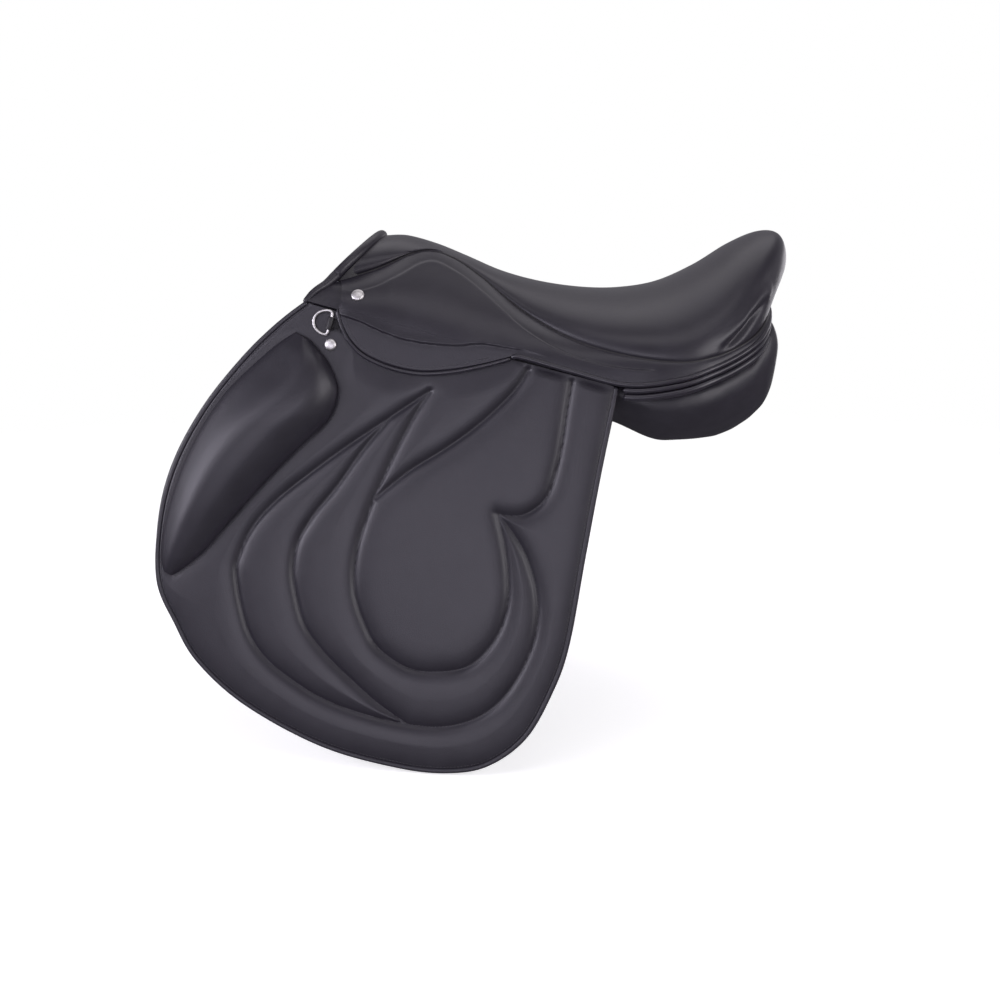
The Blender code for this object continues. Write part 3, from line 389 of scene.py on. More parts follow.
def apply_modifier(piece, kind, **settings):
    only(piece)
    modifier = piece.modifiers.new(kind.title(), kind)
    for key, value in settings.items():
        setattr(modifier, key, value)
    bpy.ops.object.modifier_apply(modifier=modifier.name)


def shade(piece, degrees):
    only(piece)
    bpy.ops.object.shade_smooth_by_angle(angle=math.radians(degrees))


def thicken(piece, thickness, offset=-1):
    apply_modifier(piece, "SOLIDIFY", thickness=thickness * MM, offset=offset)
    shade(piece, 40)


def press(piece, height):
    """Moves an open skin's points along their normals by heights in millimetres."""
    spots = places(piece)
    normals = np.empty(len(spots) * 3)
    piece.data.vertex_normals.foreach_get("vector", normals)
    put(piece, spots + normals.reshape(-1, 3) * height[:, None] * MM)


def skin(name, across, along, place, weld=SKIN_WELD):
    """A grid whose points go to place(s, t), s and t from 0 to 1."""
    clear_selection()
    bpy.ops.mesh.primitive_grid_add(x_subdivisions=across, y_subdivisions=along, size=2)
    piece = named(name)
    put(piece, [place((x + 1) / 2, (y + 1) / 2) for x, y, _ in places(piece)])
    close_up(piece, weld)
    return piece


def wire(name, path, radius, sides=12, closed=False, taper=0.0, slim=0.0):
    """A round cord of leather or steel along points in millimetres, its ends rounded off."""
    path = [Vector(point) for point in path]
    count = len(path)
    rows = count if closed else count - 1
    frames = []
    normal = None
    for index in range(count):
        before = path[index - 1 if closed else max(index - 1, 0)]
        after = path[(index + 1) % count if closed else min(index + 1, count - 1)]
        tangent = (after - before).normalized()
        if normal is None:
            normal = tangent.orthogonal().normalized()
        normal = (normal - tangent * normal.dot(tangent)).normalized()
        frames.append((normal, tangent.cross(normal)))

    def place(around, run):
        index = round(run * rows) % count
        side, up = frames[index]
        size = radius
        end = min(index, count - 1 - index) / (count - 1)
        if slim:
            size *= SLIM_SHARE + (1 - SLIM_SHARE) * min(end / slim, 1)
        if taper:
            size *= math.sqrt(max(1 - (1 - min(end / taper, 1)) ** 2, TIP_SHARE ** 2))
        angle = 2 * math.pi * around
        return (path[index] + side * size * math.cos(angle) + up * size * math.sin(angle)) * MM

    piece = skin(name, sides, rows, place, FINE_WELD)
    if not closed:
        cap_ends(piece)
    shade(piece, 50)
    return piece


def slab(name, outline, low, high, rounding, segments=3, place=on_flap, holes=()):
    """A flat piece cut to an outline in millimetres, as thick as its layer, with rounded edges."""
    clear_selection()
    bpy.ops.mesh.primitive_circle_add(vertices=len(outline), radius=1, fill_type="NGON")
    piece = named(name)
    put(piece, [(along, down, 0) for along, down in outline])
    with editing(piece):
        bpy.ops.mesh.extrude_region_move(TRANSFORM_OT_translate={"value": (0, 0, 1)})
    spots = places(piece)
    spots[:, 2] = np.where(spots[:, 2] > 0.5, high, low)
    put(piece, spots)
    close_up(piece, 1)
    for along, down, radius in holes:
        clear_selection()
        bpy.ops.mesh.primitive_cylinder_add(
            vertices=16, radius=radius, depth=4 * (high - low), location=(along, down, low))
        punch = bpy.context.object
        apply_modifier(piece, "BOOLEAN", operation="DIFFERENCE", object=punch, solver="EXACT")
        bpy.data.objects.remove(punch)
    apply_modifier(piece, "BEVEL", width=rounding, segments=segments, limit_method="ANGLE",
                   angle_limit=math.radians(50), use_clamp_overlap=True)
    put(piece, [place(*spot) for spot in places(piece)])
    close_up(piece)
    shade(piece, 35)
    return piece


def twin(piece):
    """The off side's copy of a near side piece."""
    copy = piece.copy()
    copy.data = piece.data.copy()
    copy.name = copy.data.name = piece.name.replace("near_", "off_", 1)
    bpy.context.collection.objects.link(copy)
    copy.data.transform(Matrix.Scale(-1, 4, (0, 1, 0)))
    copy.data.flip_normals()
    return copy


class Value:
    """A number that changes over a surface. Sums on it add the nodes that work them out."""

    def __init__(self, tree, socket):
        self.tree = tree
        self.socket = socket

    def work(self, operation, *inputs, clamp=False):
        node = self.tree.nodes.new("ShaderNodeMath")
        node.operation = operation
        node.use_clamp = clamp
        for slot, given in zip(node.inputs, inputs):
            feed(self.tree, slot, given)
        return Value(self.tree, node.outputs[0])

    def __add__(self, other):
        return self.work("ADD", self, other)

    def __sub__(self, other):
        return self.work("SUBTRACT", self, other)

    def __rsub__(self, other):
        return self.work("SUBTRACT", other, self)

    def __mul__(self, other):
        return self.work("MULTIPLY", self, other)

    __radd__ = __add__
    __rmul__ = __mul__

    def above(self, edge, width):
        """0 below an edge, 1 above it, with a soft step of a width between."""
        return self.work("MULTIPLY", self - edge + width / 2, 1 / width, clamp=True)


def feed(tree, slot, given):
    """Joins a value to a socket, or sets a number, place or colour there."""
    if isinstance(given, Value):
        tree.links.new(given.socket, slot)
    elif slot.type == "RGBA":
        slot.default_value = (*given, 1)
    else:
        slot.default_value = given


class Finish:
    """A material under construction: its shader and the nodes that feed it."""

    def __init__(self, name, **fixed):
        self.material = bpy.data.materials.new(name)
        self.material.use_nodes = True
        self.tree = self.material.node_tree
        self.shader = self.tree.nodes["Principled BSDF"]
        self.set(self.shader, fixed)

    def set(self, node, sockets):
        for key, given in sockets.items():
            slot = node.inputs[key.replace("_", " ") if isinstance(key, str) else key]
            feed(self.tree, slot, given)

    def node(self, kind, settings=None, sockets=None, result=0):
        node = self.tree.nodes.new("ShaderNode" + kind)
        for key, given in (settings or {}).items():
            setattr(node, key, given)
        self.set(node, sockets or {})
        return Value(self.tree, node.outputs[result])

    def where(self, stretch=(1, 1, 1)):
        """Place on the object, in metres, stretched."""
        spot = self.node("TexCoord", result="Object")
        return self.node("Mapping", None, {"Vector": spot, "Scale": stretch})

    def noise(self, scale, detail, roughness, at=None):
        at = at or self.node("TexCoord", result="Object")
        return self.node("TexNoise", None, {"Scale": scale, "Detail": detail,
                                            "Roughness": roughness, "Vector": at}, "Fac")

    def cells(self, scale, feature="F1", **sockets):
        return self.node("TexVoronoi", {"feature": feature},
                         {"Vector": self.where(), "Scale": scale, **sockets}, "Distance")

    def bands(self, direction, at, profile="SIN", **sockets):
        """Stripes that follow each other in a direction."""
        return self.node("TexWave", {"bands_direction": direction, "wave_profile": profile},
                         {"Vector": at, **sockets}, "Fac")

    def mix(self, share, first, second):
        node = self.tree.nodes.new("ShaderNodeMix")
        node.data_type = "RGBA"
        colours = [slot for slot in node.inputs if slot.type == "RGBA"]
        for slot, given in zip((node.inputs[0], *colours), (share, first, second)):
            feed(self.tree, slot, given)
        return Value(self.tree, next(slot for slot in node.outputs if slot.type == "RGBA"))

    def done(self, height, strength, depth, **sockets):
        """The material, once its colour, roughness and bump are joined to the shader."""
        bump = {"Height": height, "Strength": strength, "Distance": depth}
        self.set(self.shader, {**sockets, "Normal": self.node("Bump", None, bump, "Normal")})
        return self.material


BLACK = (0.0130, 0.0112, 0.0168)
BLACK_PALE = (0.024, 0.0215, 0.030)


def leather(name, roughness, grain, depth, coat=0.0, colour=BLACK, pale=BLACK_PALE):
    """Dyed leather: fine grain with pores, faint clouding and slightly rubbed high places."""
    finish = Finish(name, Specular_IOR_Level=0.5, Coat_Weight=coat, Coat_Roughness=0.3)
    cloud = finish.noise(14, 4, 0.6)
    patch = finish.noise(55, 3, 0.5)
    warp = finish.noise(grain * 0.35, 2, 0.5)
    fine = finish.noise(grain * 2.2, 2, 0.5)
    pores = finish.cells(grain, "SMOOTH_F1", Smoothness=0.35, Randomness=0.9)
    rub = finish.node("Attribute", {"attribute_name": "rub"}, None, "Fac")
    tone = cloud.above(0.5, 0.5) * 0.45 + patch.above(0.5, 0.6) * 0.25 + rub * 0.5
    return finish.done(
        1 - pores * 0.75 + fine * 0.35 + warp * 0.5, 0.35, depth,
        Base_Color=finish.mix(tone, colour, pale),
        Roughness=roughness + (cloud - 0.5) * 0.16 + (fine - 0.5) * 0.10 - rub * 0.05)


def steel(name, colour, roughness, scratch, tarnish):
    finish = Finish(name, Metallic=1.0)
    streak = finish.noise(scratch, 5, 0.7, finish.where((1, 1, 6)))
    cloud = finish.noise(60, 3, 0.6)
    dull = tuple(part * 0.62 for part in colour)
    return finish.done(
        streak, 0.15, 0.00015,
        Base_Color=finish.mix(cloud.above(0.56, 0.3) * tarnish, colour, dull),
        Roughness=roughness + streak * 0.14 + cloud * 0.10)


def thread():
    finish = Finish("waxed_thread", Specular_IOR_Level=0.35, Sheen_Weight=0.2,
                    Sheen_Roughness=0.5)
    twist = finish.bands("DIAGONAL", finish.where(), Scale=900, Distortion=1.5)
    return finish.done(
        twist, 0.4, 0.0002,
        Base_Color=finish.mix(twist, (0.012, 0.011, 0.014), (0.05, 0.048, 0.055)),
        Roughness=0.55 + twist * 0.15)


def webbing():
    finish = Finish("nylon_web", Specular_IOR_Level=0.2, Sheen_Weight=0.25, Sheen_Roughness=0.6)
    spot = finish.where()
    warp = finish.bands("X", spot, Scale=170, Distortion=0.6, Detail=1.0)
    weft = finish.bands("Y", spot, Scale=240, Distortion=0.8, Detail=1.0)
    fuzz = finish.noise(900, 3, 0.6)
    weave = warp * 0.5 + weft * 0.5
    return finish.done(
        weave + fuzz * 0.3, 0.6, 0.0006,
        Base_Color=finish.mix(weave * 0.6 + fuzz * 0.4, (0.055, 0.053, 0.055),
                              (0.022, 0.021, 0.023)),
        Roughness=0.78 + fuzz * 0.15)


def plywood():
    finish = Finish("laminated_beech", Specular_IOR_Level=0.4, Coat_Weight=0.25,
                    Coat_Roughness=0.35)
    rings = finish.bands("Y", finish.where((1, 5, 5)), "SAW", Scale=16, Distortion=5, Detail=3,
                         Detail_Scale=1.5)
    fibre = finish.noise(160, 4, 0.65, finish.where((0.12, 1, 1)))
    return finish.done(
        fibre + rings * 0.3, 0.25, 0.0004,
        Base_Color=finish.mix(rings * 0.6 + fibre * 0.4, (0.50, 0.31, 0.15), (0.27, 0.14, 0.06)),
        Roughness=0.42 + fibre * 0.2)


def foam():
    finish = Finish("seat_foam", Specular_IOR_Level=0.15)
    cells = finish.cells(620, Randomness=1.0)
    cloud = finish.noise(40, 4, 0.6)
    return finish.done(
        cells, 0.5, 0.0008,
        Base_Color=finish.mix(cloud, (0.075, 0.073, 0.07), (0.045, 0.044, 0.043)),
        Roughness=0.86 + cells * 0.1)


LOOKS = {look: leather(look + "_leather", *values) for look, *values in (
    ("seat", 0.40, 1150, 0.00022, 0.08),
    ("flap", 0.42, 1050, 0.00024, 0.08),
    ("piping", 0.30, 1400, 0.00014, 0.3),
    ("panel", 0.44, 1300, 0.00020, 0.05),
    ("strap", 0.46, 800, 0.0003, 0.0, (0.010, 0.009, 0.011), (0.022, 0.020, 0.022)),
    ("lining", 0.58, 900, 0.0003, 0.0, (0.012, 0.011, 0.013), (0.020, 0.019, 0.022)),
)}
LOOKS |= {
    "bright": steel("stainless_steel", (0.78, 0.76, 0.75), 0.32, 420, 0.5),
    "forged": steel("forged_steel", (0.50, 0.49, 0.48), 0.30, 260, 0.9),
    "plate": steel("spring_steel", (0.33, 0.33, 0.35), 0.38, 200, 1.0),
    "thread": thread(), "web": webbing(), "wood": plywood(), "foam": foam(),
}


def finish_piece(piece, look, node=None, body="saddle"):
    """Gives a piece its material, and says what it rides on and stands for."""
    piece.data.materials.clear()
    piece.data.materials.append(LOOKS[look])
    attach(piece, body)
    if node:
        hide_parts(node)


def finish_pair(piece, look, node=None, body="saddle"):
    """The same for a near side piece and its twin, whose body and node are named by side."""
    other = twin(piece)
    for one, side in ((piece, "left_"), (other, "right_")):
        finish_piece(one, look, node and side + node, body if body == "saddle" else side + body)


def stitches(name, path):
    """A row of stitches along points in millimetres: one bead of thread, repeated and laid."""
    marks = even(path, STITCH_PITCH)
    count = len(marks) - 1
    clear_selection()
    bpy.ops.mesh.primitive_uv_sphere_add(segments=6, ring_count=4, radius=1)
    piece = named(name)
    apply_modifier(piece, "ARRAY", count=count, use_relative_offset=False,
                   use_constant_offset=True, constant_offset_displace=(BEADS_APART, 0, 0))
    beads = places(piece).reshape(count, -1, 3)
    beads[:, :, 0] -= BEADS_APART * np.arange(count)[:, None]
    beads *= STITCH_RADIUS, STITCH_RADIUS, 0.5 * STITCH_LENGTH
    for bead, first, last in zip(beads, marks, marks[1:]):
        start, end = Vector(first), Vector(last)
        run = (end - start).normalized()
        side = run.orthogonal().normalized()
        turn = np.array((side, run.cross(side), run))
        bead[:] = (np.array((start + end) / 2) + bead @ turn) * MM
    put(piece, beads)
    only(piece)
    bpy.ops.object.shade_smooth()
    return piece


def fading(gap, height, reach):
    """A height that fades away from a line."""
    return height * np.exp(-gap / reach)


def rising(gap, height, reach):
    """A height that grows away from a line."""
    return height - fading(gap, height, reach)


def mirrored(path):
    """A path on the off side, run the other way."""
    return [(x, -y, z) for x, y, z in reversed(path)]


# Seat: cover drawn over shaped foam
SEAT_LEATHER = 2.0
SEAT_CROWDING = 0.12
RIDGE_HEIGHT = 4.0
RIDGE_REACH = 7.0
DENT_DEPTH = 7.0
DENT_REACH = 4.6
SEAM_DEPTH = 1.1
SEAM_REACH = 1.6
RUBBED = 0.6
RUBBED_REACH = 0.06
FOAM_START = 0.015
FOAM_LENGTH = 0.83
FOAM_DROP = 6
FOAM_INSET = 14
FOAM_ANGLE = 1.35


def seat_relief(spots, seam):
    """The seat's pull into its seam, and the fold at the cantle's corners."""
    near = spots.copy()
    near[:, 1] = -np.abs(near[:, 1])
    ridge, raised = beside(near, CANTLE_RIDGE)
    dent, sunk = beside(near, CANTLE_DENT)
    return (raised * fading(ridge ** 2, RIDGE_HEIGHT, RIDGE_REACH ** 2)
            - sunk * fading(dent ** 2, DENT_DEPTH, DENT_REACH ** 2)
            - fading(distance_to(spots, seam), SEAM_DEPTH, SEAM_REACH))


def seat_cover():
    def place(across, along):
        share = 2 * across - 1
        angle = share * (1 + SEAT_CROWDING - SEAT_CROWDING * share ** 2) * (math.pi / 2 - 0.002)
        return seat_point(curve_at(SEAT_RIBS, along), angle if along < 0.9999 else 0) * MM

    piece = skin("saddle_seat", 170, 260, place)
    facing(piece, (0, 0, 1))
    seam = [tuple(seat_point(rib, math.pi / 2)) for rib in curve(SEAT_RIBS, 300)]
    press(piece, seat_relief(places(piece) / MM, seam + mirrored(seam)))
    thicken(piece, SEAT_LEATHER)
    layer = piece.data.attributes.new("rub", "FLOAT", "POINT")
    side = places(piece)[:, 1] / RUBBED_REACH
    layer.data.foreach_set("value", RUBBED * np.exp(-side ** 2))
    return piece


def seat_padding():
    """Foam under the cover, down to the deck."""
    def place(around, along):
        crown_x, crown_z, seam_x, half_width, seam_z = curve_at(
            SEAT_RIBS, FOAM_START + FOAM_LENGTH * along)
        share = 2 * around if around <= 0.5 else 2 - 2 * around
        rib = (crown_x, crown_z - FOAM_DROP, seam_x, half_width - FOAM_INSET, seam_z - 1)
        point = seat_point(rib, (2 * share - 1) * FOAM_ANGLE)
        if not 0.5 < around < 0.999:
            return point * MM
        pulled = min(max((along - 0.6) / 0.15, 0), 1)
        x = point.x + (min(point.x, seam_x - 3) - point.x) * pulled
        return Vector((x, point.y, min(deck(x, point.y) + 1, point.z - 1))) * MM

    piece = skin("seat_padding", 48, 60, place)
    cap_ends(piece)
    shade(piece, 60)
    return piece


finish_piece(seat_cover(), "seat", "seat_cover")
finish_piece(seat_padding(), "foam", "seat_foam")


# Pommel roll and the three welts round the cantle
WELT_DROP = 1.7


def roll_path():
    rib = SEAT_RIBS[0]
    path = []
    for angle in np.linspace(-math.pi / 2, math.pi / 2, 49):
        along = (seat_point(rib, angle + 0.05) - seat_point(rib, angle - 0.05)).normalized()
        ahead = Vector((-1, 0, 0))
        ahead = (ahead - along * ahead.dot(along)).normalized()
        path.append(tuple(seat_point(rib, angle) + ahead * (ROLL_RADIUS + 0.2)))
    return even(curve(mirrored(ROLL_TAIL) + path + ROLL_TAIL, 300), 2.0)


def welt_path(drop, start):
    """A welt's middle line from a starting x round the cantle to the same x on the off side."""
    route = [HINGE_FRONT + ALONG * 196 + DOWN * 2.2 - OUT * 1.6]
    for row in SKIRT_ROWS[len(SKIRT_STATIONS):12]:
        edge = Vector(row[3:])
        fall = edge - skirt_point(row, 0.75)
        route.append(edge + fall.normalized() * WELT_DROP + OUT * 0.8)
    route += [(x, y, z - WELT_DROP) for x, y, z in SKIRT_LOWER_EDGE[-4:]]
    fine = curve([(x, y, z - drop) for x, y, z in route], 300)
    fine = [point for point in fine if point[0] > start]
    return even(fine + mirrored(fine[:-1]), 2.5)


roll = wire("pommel_roll_leather", roll_path(), ROLL_RADIUS, 20, taper=0.015, slim=0.14)
finish_piece(roll, "seat", "pommel_roll")
for name, drop, start, radius, node in (
    ("skirt_welt", 0.0, -62, 2.5, "cantle_welt"),
    ("seat_edge_welt", 5.6, 45.5, 2.7, "seat_welt"),
    ("panel_edge_welt", 12.2, 45.5, 3.3, "panel_welt"),
):
    welt = wire(name, welt_path(drop, start), radius, 16, taper=0.004)
    finish_piece(welt, "piping", node)


# Skirt: the fixed part under the seat's seam and the part that lifts off the stirrup bar
SEAM = [row[:3] for row in curve(SKIRT_ROWS, 300)]
SEAM_CORD = [(-233.0, -84.5, 157.0)] + [(x, y + 2.0, z - 1.2) for x, y, z in SEAM[2:]]
SKIRT_LEATHER = 3.0
SKIRT_HALF = 1.8
SKIRT_ROUNDED = 0.07
FOLD_REACH = 14
POINT_LEATHER = 2.8


def on_skirt(number, share):
    return skirt_point(curve_at(SKIRT_ROWS, number / (len(SKIRT_ROWS) - 1)), share)


UPPER_LINE = [(on_skirt(number, share), strength)
              for number, share, strength in curve(UPPER_CREASE, 90)]
LOWER_LINE = [(on_flap(along, down) / MM, strength)
              for along, down, strength in curve(LOWER_CREASE_FRONT, 50)]
LOWER_LINE += [(on_skirt(number, share), strength)
               for number, share, strength in curve(LOWER_CREASE_REAR, 30)]


def crease(spots, line, below, above, edge):
    """A soft step along a line, with a height and a reach for each side of it."""
    down, strength = beside(spots, line)
    height = np.where(down > 0, fading(down, *below), fading(-down, *above))
    return height * strength * np.tanh(down / edge)


def skirt_relief(spots):
    """The skirt's creases, and the groove where it meets the seat."""
    return (crease(spots, UPPER_LINE, (1.3, 7), (1.0, 3.5), 1.4)
            - crease(spots, LOWER_LINE, (0.5, 2.5), (2.9, 7.0), 0.9)
            - fading(distance_to(spots, SEAM), 1.2, 1.5))


def skirt_top():
    def place(share, along):
        point = skirt_point(curve_at(SKIRT_ROWS, along), share)
        station = (point - HINGE_FRONT).dot(ALONG)
        drawn = soft_step(station, 158, 194) * (1 - soft_step(station, 196, 214)) * share ** 3
        return (point + (DOWN * 2.6 - OUT * 0.8) * float(drawn)) * MM

    piece = skin("near_skirt_upper", 72, 330, place)
    facing(piece, (0, -0.5, 1))
    spots = places(piece)
    height = skirt_relief(spots / MM)
    press(piece, height)
    fall = (spots / MM - np.array(HINGE_FRONT)) @ np.array(DOWN)
    folded = np.clip(1 + fall / FOLD_REACH, 0, 1)[:, None]
    straight = spots + height[:, None] * np.array(OUT) * MM
    put(piece, places(piece) * (1 - folded) + straight * folded)
    thicken(piece, SKIRT_LEATHER)
    return piece


def point_cover():
    lines = []
    for step, (x, y, z) in enumerate([(-231, 84, 158.5)] + ROLL_TAIL[:3]):
        centre = Vector((x, -y, z))
        share = step / 4
        rear = (skirt_point(SKIRT_ROWS[0], share) + ALONG * 1.5
                + OUT * (FLAP_TOP * share - 1.0))
        front = centre + (rear - centre).normalized() * (ROLL_RADIUS - 1.5)
        lines.append((*front, *rear))
    low = HINGE_FRONT + DOWN * 1.4 + OUT * (FLAP_TOP + 0.5)
    lines.append((*(low - ALONG * 16.5), *(low + ALONG * 18.5)))

    def place(share, along):
        line = curve_at(lines, along)
        return Vector(line[:3]).lerp(Vector(line[3:]), share) * MM

    piece = skin("near_point_leather", 20, 24, place)
    facing(piece, (-0.2, -1, 0.3))
    thicken(piece, POINT_LEATHER)
    return piece


def skirt_fold():
    """The skirt below its fold, with a rounded lower edge."""
    def place(around, along):
        u, v = curve_at(SKIRT_EDGE, along)
        share = 2 * around if around <= 0.5 else 2 - 2 * around
        past = max((share - 1 + SKIRT_ROUNDED) / SKIRT_ROUNDED, 0)
        half = SKIRT_HALF * math.sqrt(max(1 - past ** 2, 0))
        out = half if around <= 0.5 else -half
        return on_flap(u, max(v, SKIRT_EDGE[0][1]) * share, out - SKIRT_HALF)

    piece = skin("near_skirt_fold", 84, 120, place)
    spots = places(piece)
    height = skirt_relief(spots / MM)
    outer = (spots / MM - np.array(HINGE_FRONT)) @ np.array(OUT) > 0.05 - SKIRT_HALF
    put(piece, spots + np.where(outer, height, 0)[:, None] * np.array(OUT) * MM)
    shade(piece, 50)
    return piece


def along_skirt(distance, out, top):
    """A path inside the skirt's lower edge."""
    edge = offset(even(curve(SKIRT_EDGE, 120), 2.0), distance)
    return [on_flap(u, v, out) / MM for u, v in edge if v > top]


finish_pair(wire("near_seam_cord", even(SEAM_CORD, 2.5), 1.9, 10, taper=0.004), "strap")
finish_pair(skirt_top(), "seat", "skirt_top")
finish_pair(point_cover(), "flap", "point_cover")
finish_pair(skirt_fold(), "seat", "skirt", "skirt")
finish_pair(wire("near_skirt_piping_cord", along_skirt(-2.0, -1.6, 1.0), 2.1, taper=0.03),
            "piping", "skirt_piping", "skirt")


# Flap: padded leather with sewn channels, bound at its edge
QUILT_HEIGHT = 2.6
CHANNEL_DEPTH = 3.0
FLAP_CELL = 1.25
FLAP_LOW = np.array((-112, 0))
FLAP_HIGH = np.array((332, 426))
FLAP_CORE = offset(curve(FLAP_EDGE, 260), BINDING_WIDTH - 0.6)
CHANNELS = {
    name: curve(line, 8 * len(line)) for name, line in (
        ("long", QUILT_LONG), ("middle", QUILT_MIDDLE), ("inner", QUILT_INNER),
        ("upper", QUILT_UPPER), ("rear", QUILT_REAR),
    )
}
# The knee block: its profile's usual length and rise, the share of points on its face, and
# how far its ridge leans forward at the top
KNEE_SPAN = 100
KNEE_RISE = 22
KNEE_FACE = 0.85
KNEE_SKEW = 0.38
KNEE_OUTLINE = [row[:2] for row in curve(KNEE_RIBS, 60)]
KNEE_OUTLINE += [row[2:4] for row in reversed(curve(KNEE_RIBS, 60))]
# Where the flap lies flat under the skirt
CALM = [(-34, -8), (-26, 14), (-10, 33), (6, 50), (28, 52)] + SKIRT_EDGE[3:] + [(204, -8)]
# The binding's section: how far in from the flap's edge and how far out from the hinge line
BINDING_PROFILE = [
    (4.9, -4.9), (4.3, -4.35), (3.7, -4.15), (2.9, -3.9), (2.0, -3.85), (1.1, -4.1), (0.4, -4.8),
    (0.05, -6.0), (0.05, -9.6), (0.5, -10.8), (1.4, -11.2), (4.9, -11.25),
]


def notched(edge):
    """A flap's outline, with the notch at its top for the stirrup bar."""
    top = edge[0][1]
    return edge + [(NOTCH_EDGE[0][0], top)] + NOTCH_EDGE + [(NOTCH_EDGE[-1][0], top)]


def outside(spots, outline):
    """How far each of many flat points lies outside a closed outline, 0 for those inside."""
    gap = distance_to(spots, outline + outline[:1])
    gap[inside(spots, outline)] = 0
    return gap


def quilting(spots):
    """Height of the flap's leather over its flat face, in millimetres."""
    height = np.full(len(spots), QUILT_HEIGHT)
    for line in CHANNELS.values():
        gap = np.sqrt(distance_to(spots, line) ** 2 + 1) - 1
        pillow = rising(gap, 1.3, 1.2) + rising(gap, 4.4, 7)
        height = np.minimum(height, pillow - CHANNEL_DEPTH)
    height = np.minimum(height, rising(distance_to(spots, FLAP_CORE), 3.8, 8.0) - 1.2)
    height = np.minimum(height, rising(outside(spots, KNEE_OUTLINE), 3.1, 12.0) - 0.5)
    calm = np.maximum(1 - outside(spots, CALM) / 30, (12 - spots[:, 1]) / 9)
    return np.where(height > 0, height * (1 - soft_step(calm, 0, 1)), height)


def quilted_flap():
    columns, rows = ((FLAP_HIGH - FLAP_LOW) / FLAP_CELL).astype(int).tolist()
    clear_selection()
    bpy.ops.mesh.primitive_grid_add(x_subdivisions=columns, y_subdivisions=rows, size=2)
    piece = named("near_quilted_flap")
    mesh = piece.data
    spots = places(piece)
    spots[:, :2] = FLAP_LOW + (spots[:, :2] + 1) / 2 * (FLAP_HIGH - FLAP_LOW)
    put(piece, spots)
    outline = notched(FLAP_CORE)
    mesh.vertices.foreach_set("select", ~inside(spots[:, :2], outline))
    mesh.edges.foreach_set("select", np.zeros(len(mesh.edges), bool))
    mesh.polygons.foreach_set("select", np.zeros(len(mesh.polygons), bool))
    with editing(piece, whole=False):
        bpy.ops.mesh.select_mode(type="VERT")
        bpy.ops.mesh.delete(type="VERT")
        bpy.ops.mesh.select_all(action="DESELECT")
        bpy.ops.mesh.select_non_manifold()
    rim = np.zeros(len(mesh.vertices), bool)
    mesh.vertices.foreach_get("select", rim)
    spots = places(piece)
    spots[rim, :2] = nearest_on(spots[rim, :2], outline + outline[:1])[0]
    spots[:, 2] = FLAP_TOP + quilting(spots[:, :2].copy())
    put(piece, spots)
    with editing(piece, whole=False):
        bpy.ops.mesh.extrude_edges_move(TRANSFORM_OT_translate={"value": (0, 0, -30)})
    spots = places(piece)
    spots[spots[:, 2] < FLAP_BACK - 5, 2] = FLAP_BACK + 0.2
    put(piece, spots)
    with editing(piece, whole=False):
        bpy.ops.mesh.edge_face_add()
    put(piece, [on_flap(*spot) for spot in places(piece)])
    close_up(piece)
    shade(piece, 60)
    return piece


def binding():
    """Leather bound over the flap's edge: a round lip with a sewn groove inside it."""
    path = even(curve(FLAP_EDGE, 400), 2.2)
    inner = offset(path, 1.0)
    corners = len(BINDING_PROFILE)

    def place(around, along):
        index = round(along * (len(path) - 1))
        inward, out = BINDING_PROFILE[round(around * corners) % corners]
        (edge_u, edge_v), (aim_u, aim_v) = path[index], inner[index]
        return on_flap(edge_u + (aim_u - edge_u) * inward, edge_v + (aim_v - edge_v) * inward, out)

    piece = skin("near_flap_edge_binding", corners, len(path) - 1, place)
    cap_ends(piece)
    apply_modifier(piece, "SUBSURF", levels=1, render_levels=1)
    shade(piece, 50)
    return piece


def knee_block():
    profile = [(across * KNEE_SPAN, rise * KNEE_RISE) for across, rise in curve(KNEE_PROFILE, 200)]
    profile = even(profile, 1.4)

    def place(around, along):
        front_u, front_v, rear_u, rear_v, height = curve_at(KNEE_RIBS, along)
        if around > KNEE_FACE:
            share, rise = (1 - around) / (1 - KNEE_FACE), 0.0
        else:
            share, rise = profile[round(around / KNEE_FACE * (len(profile) - 1))]
            forward = 1 - KNEE_SKEW * (1 - soft_step(along, 0.12, 0.55))
            share, rise = (max(share, 0) / KNEE_SPAN) ** forward, height * rise / KNEE_RISE
        return on_flap(front_u + (rear_u - front_u) * share,
                       front_v + (rear_v - front_v) * share, FLAP_TOP + 0.1 + rise)

    piece = skin("near_knee_pad", 120, 150, place)
    cap_ends(piece)
    apply_modifier(piece, "SMOOTH", factor=0.5, iterations=4)
    shade(piece, 80)
    return piece


finish_pair(quilted_flap(), "flap", "flap", "flap")
finish_pair(binding(), "flap", "flap_binding", "flap")
finish_pair(knee_block(), "flap", "knee_block", "flap")
sweat_edge = notched(even(curve(SWEAT_FLAP_EDGE, 240), 4.0)) + [(-12, -9), (-20, -7)]
finish_pair(slab("near_sweat_flap_leather", sweat_edge, SWEAT_BACK, SWEAT_TOP, 1.0), "flap",
            "sweat_flap")


# Stitching on the flap, its binding, the knee pad, the skirt and the sweat flap
def on_face(path):
    """A path in the flap's plane laid on the quilted leather."""
    flat = np.array([point[:2] for point in path])
    height = quilting(flat) + FLAP_TOP + 0.2
    return [on_flap(u, v, w) / MM for (u, v), w in zip(flat, height)]


def inside_edge(edge, distance, top):
    return [point for point in offset(even(curve(edge, 400), 2.0), distance) if point[1] > top]


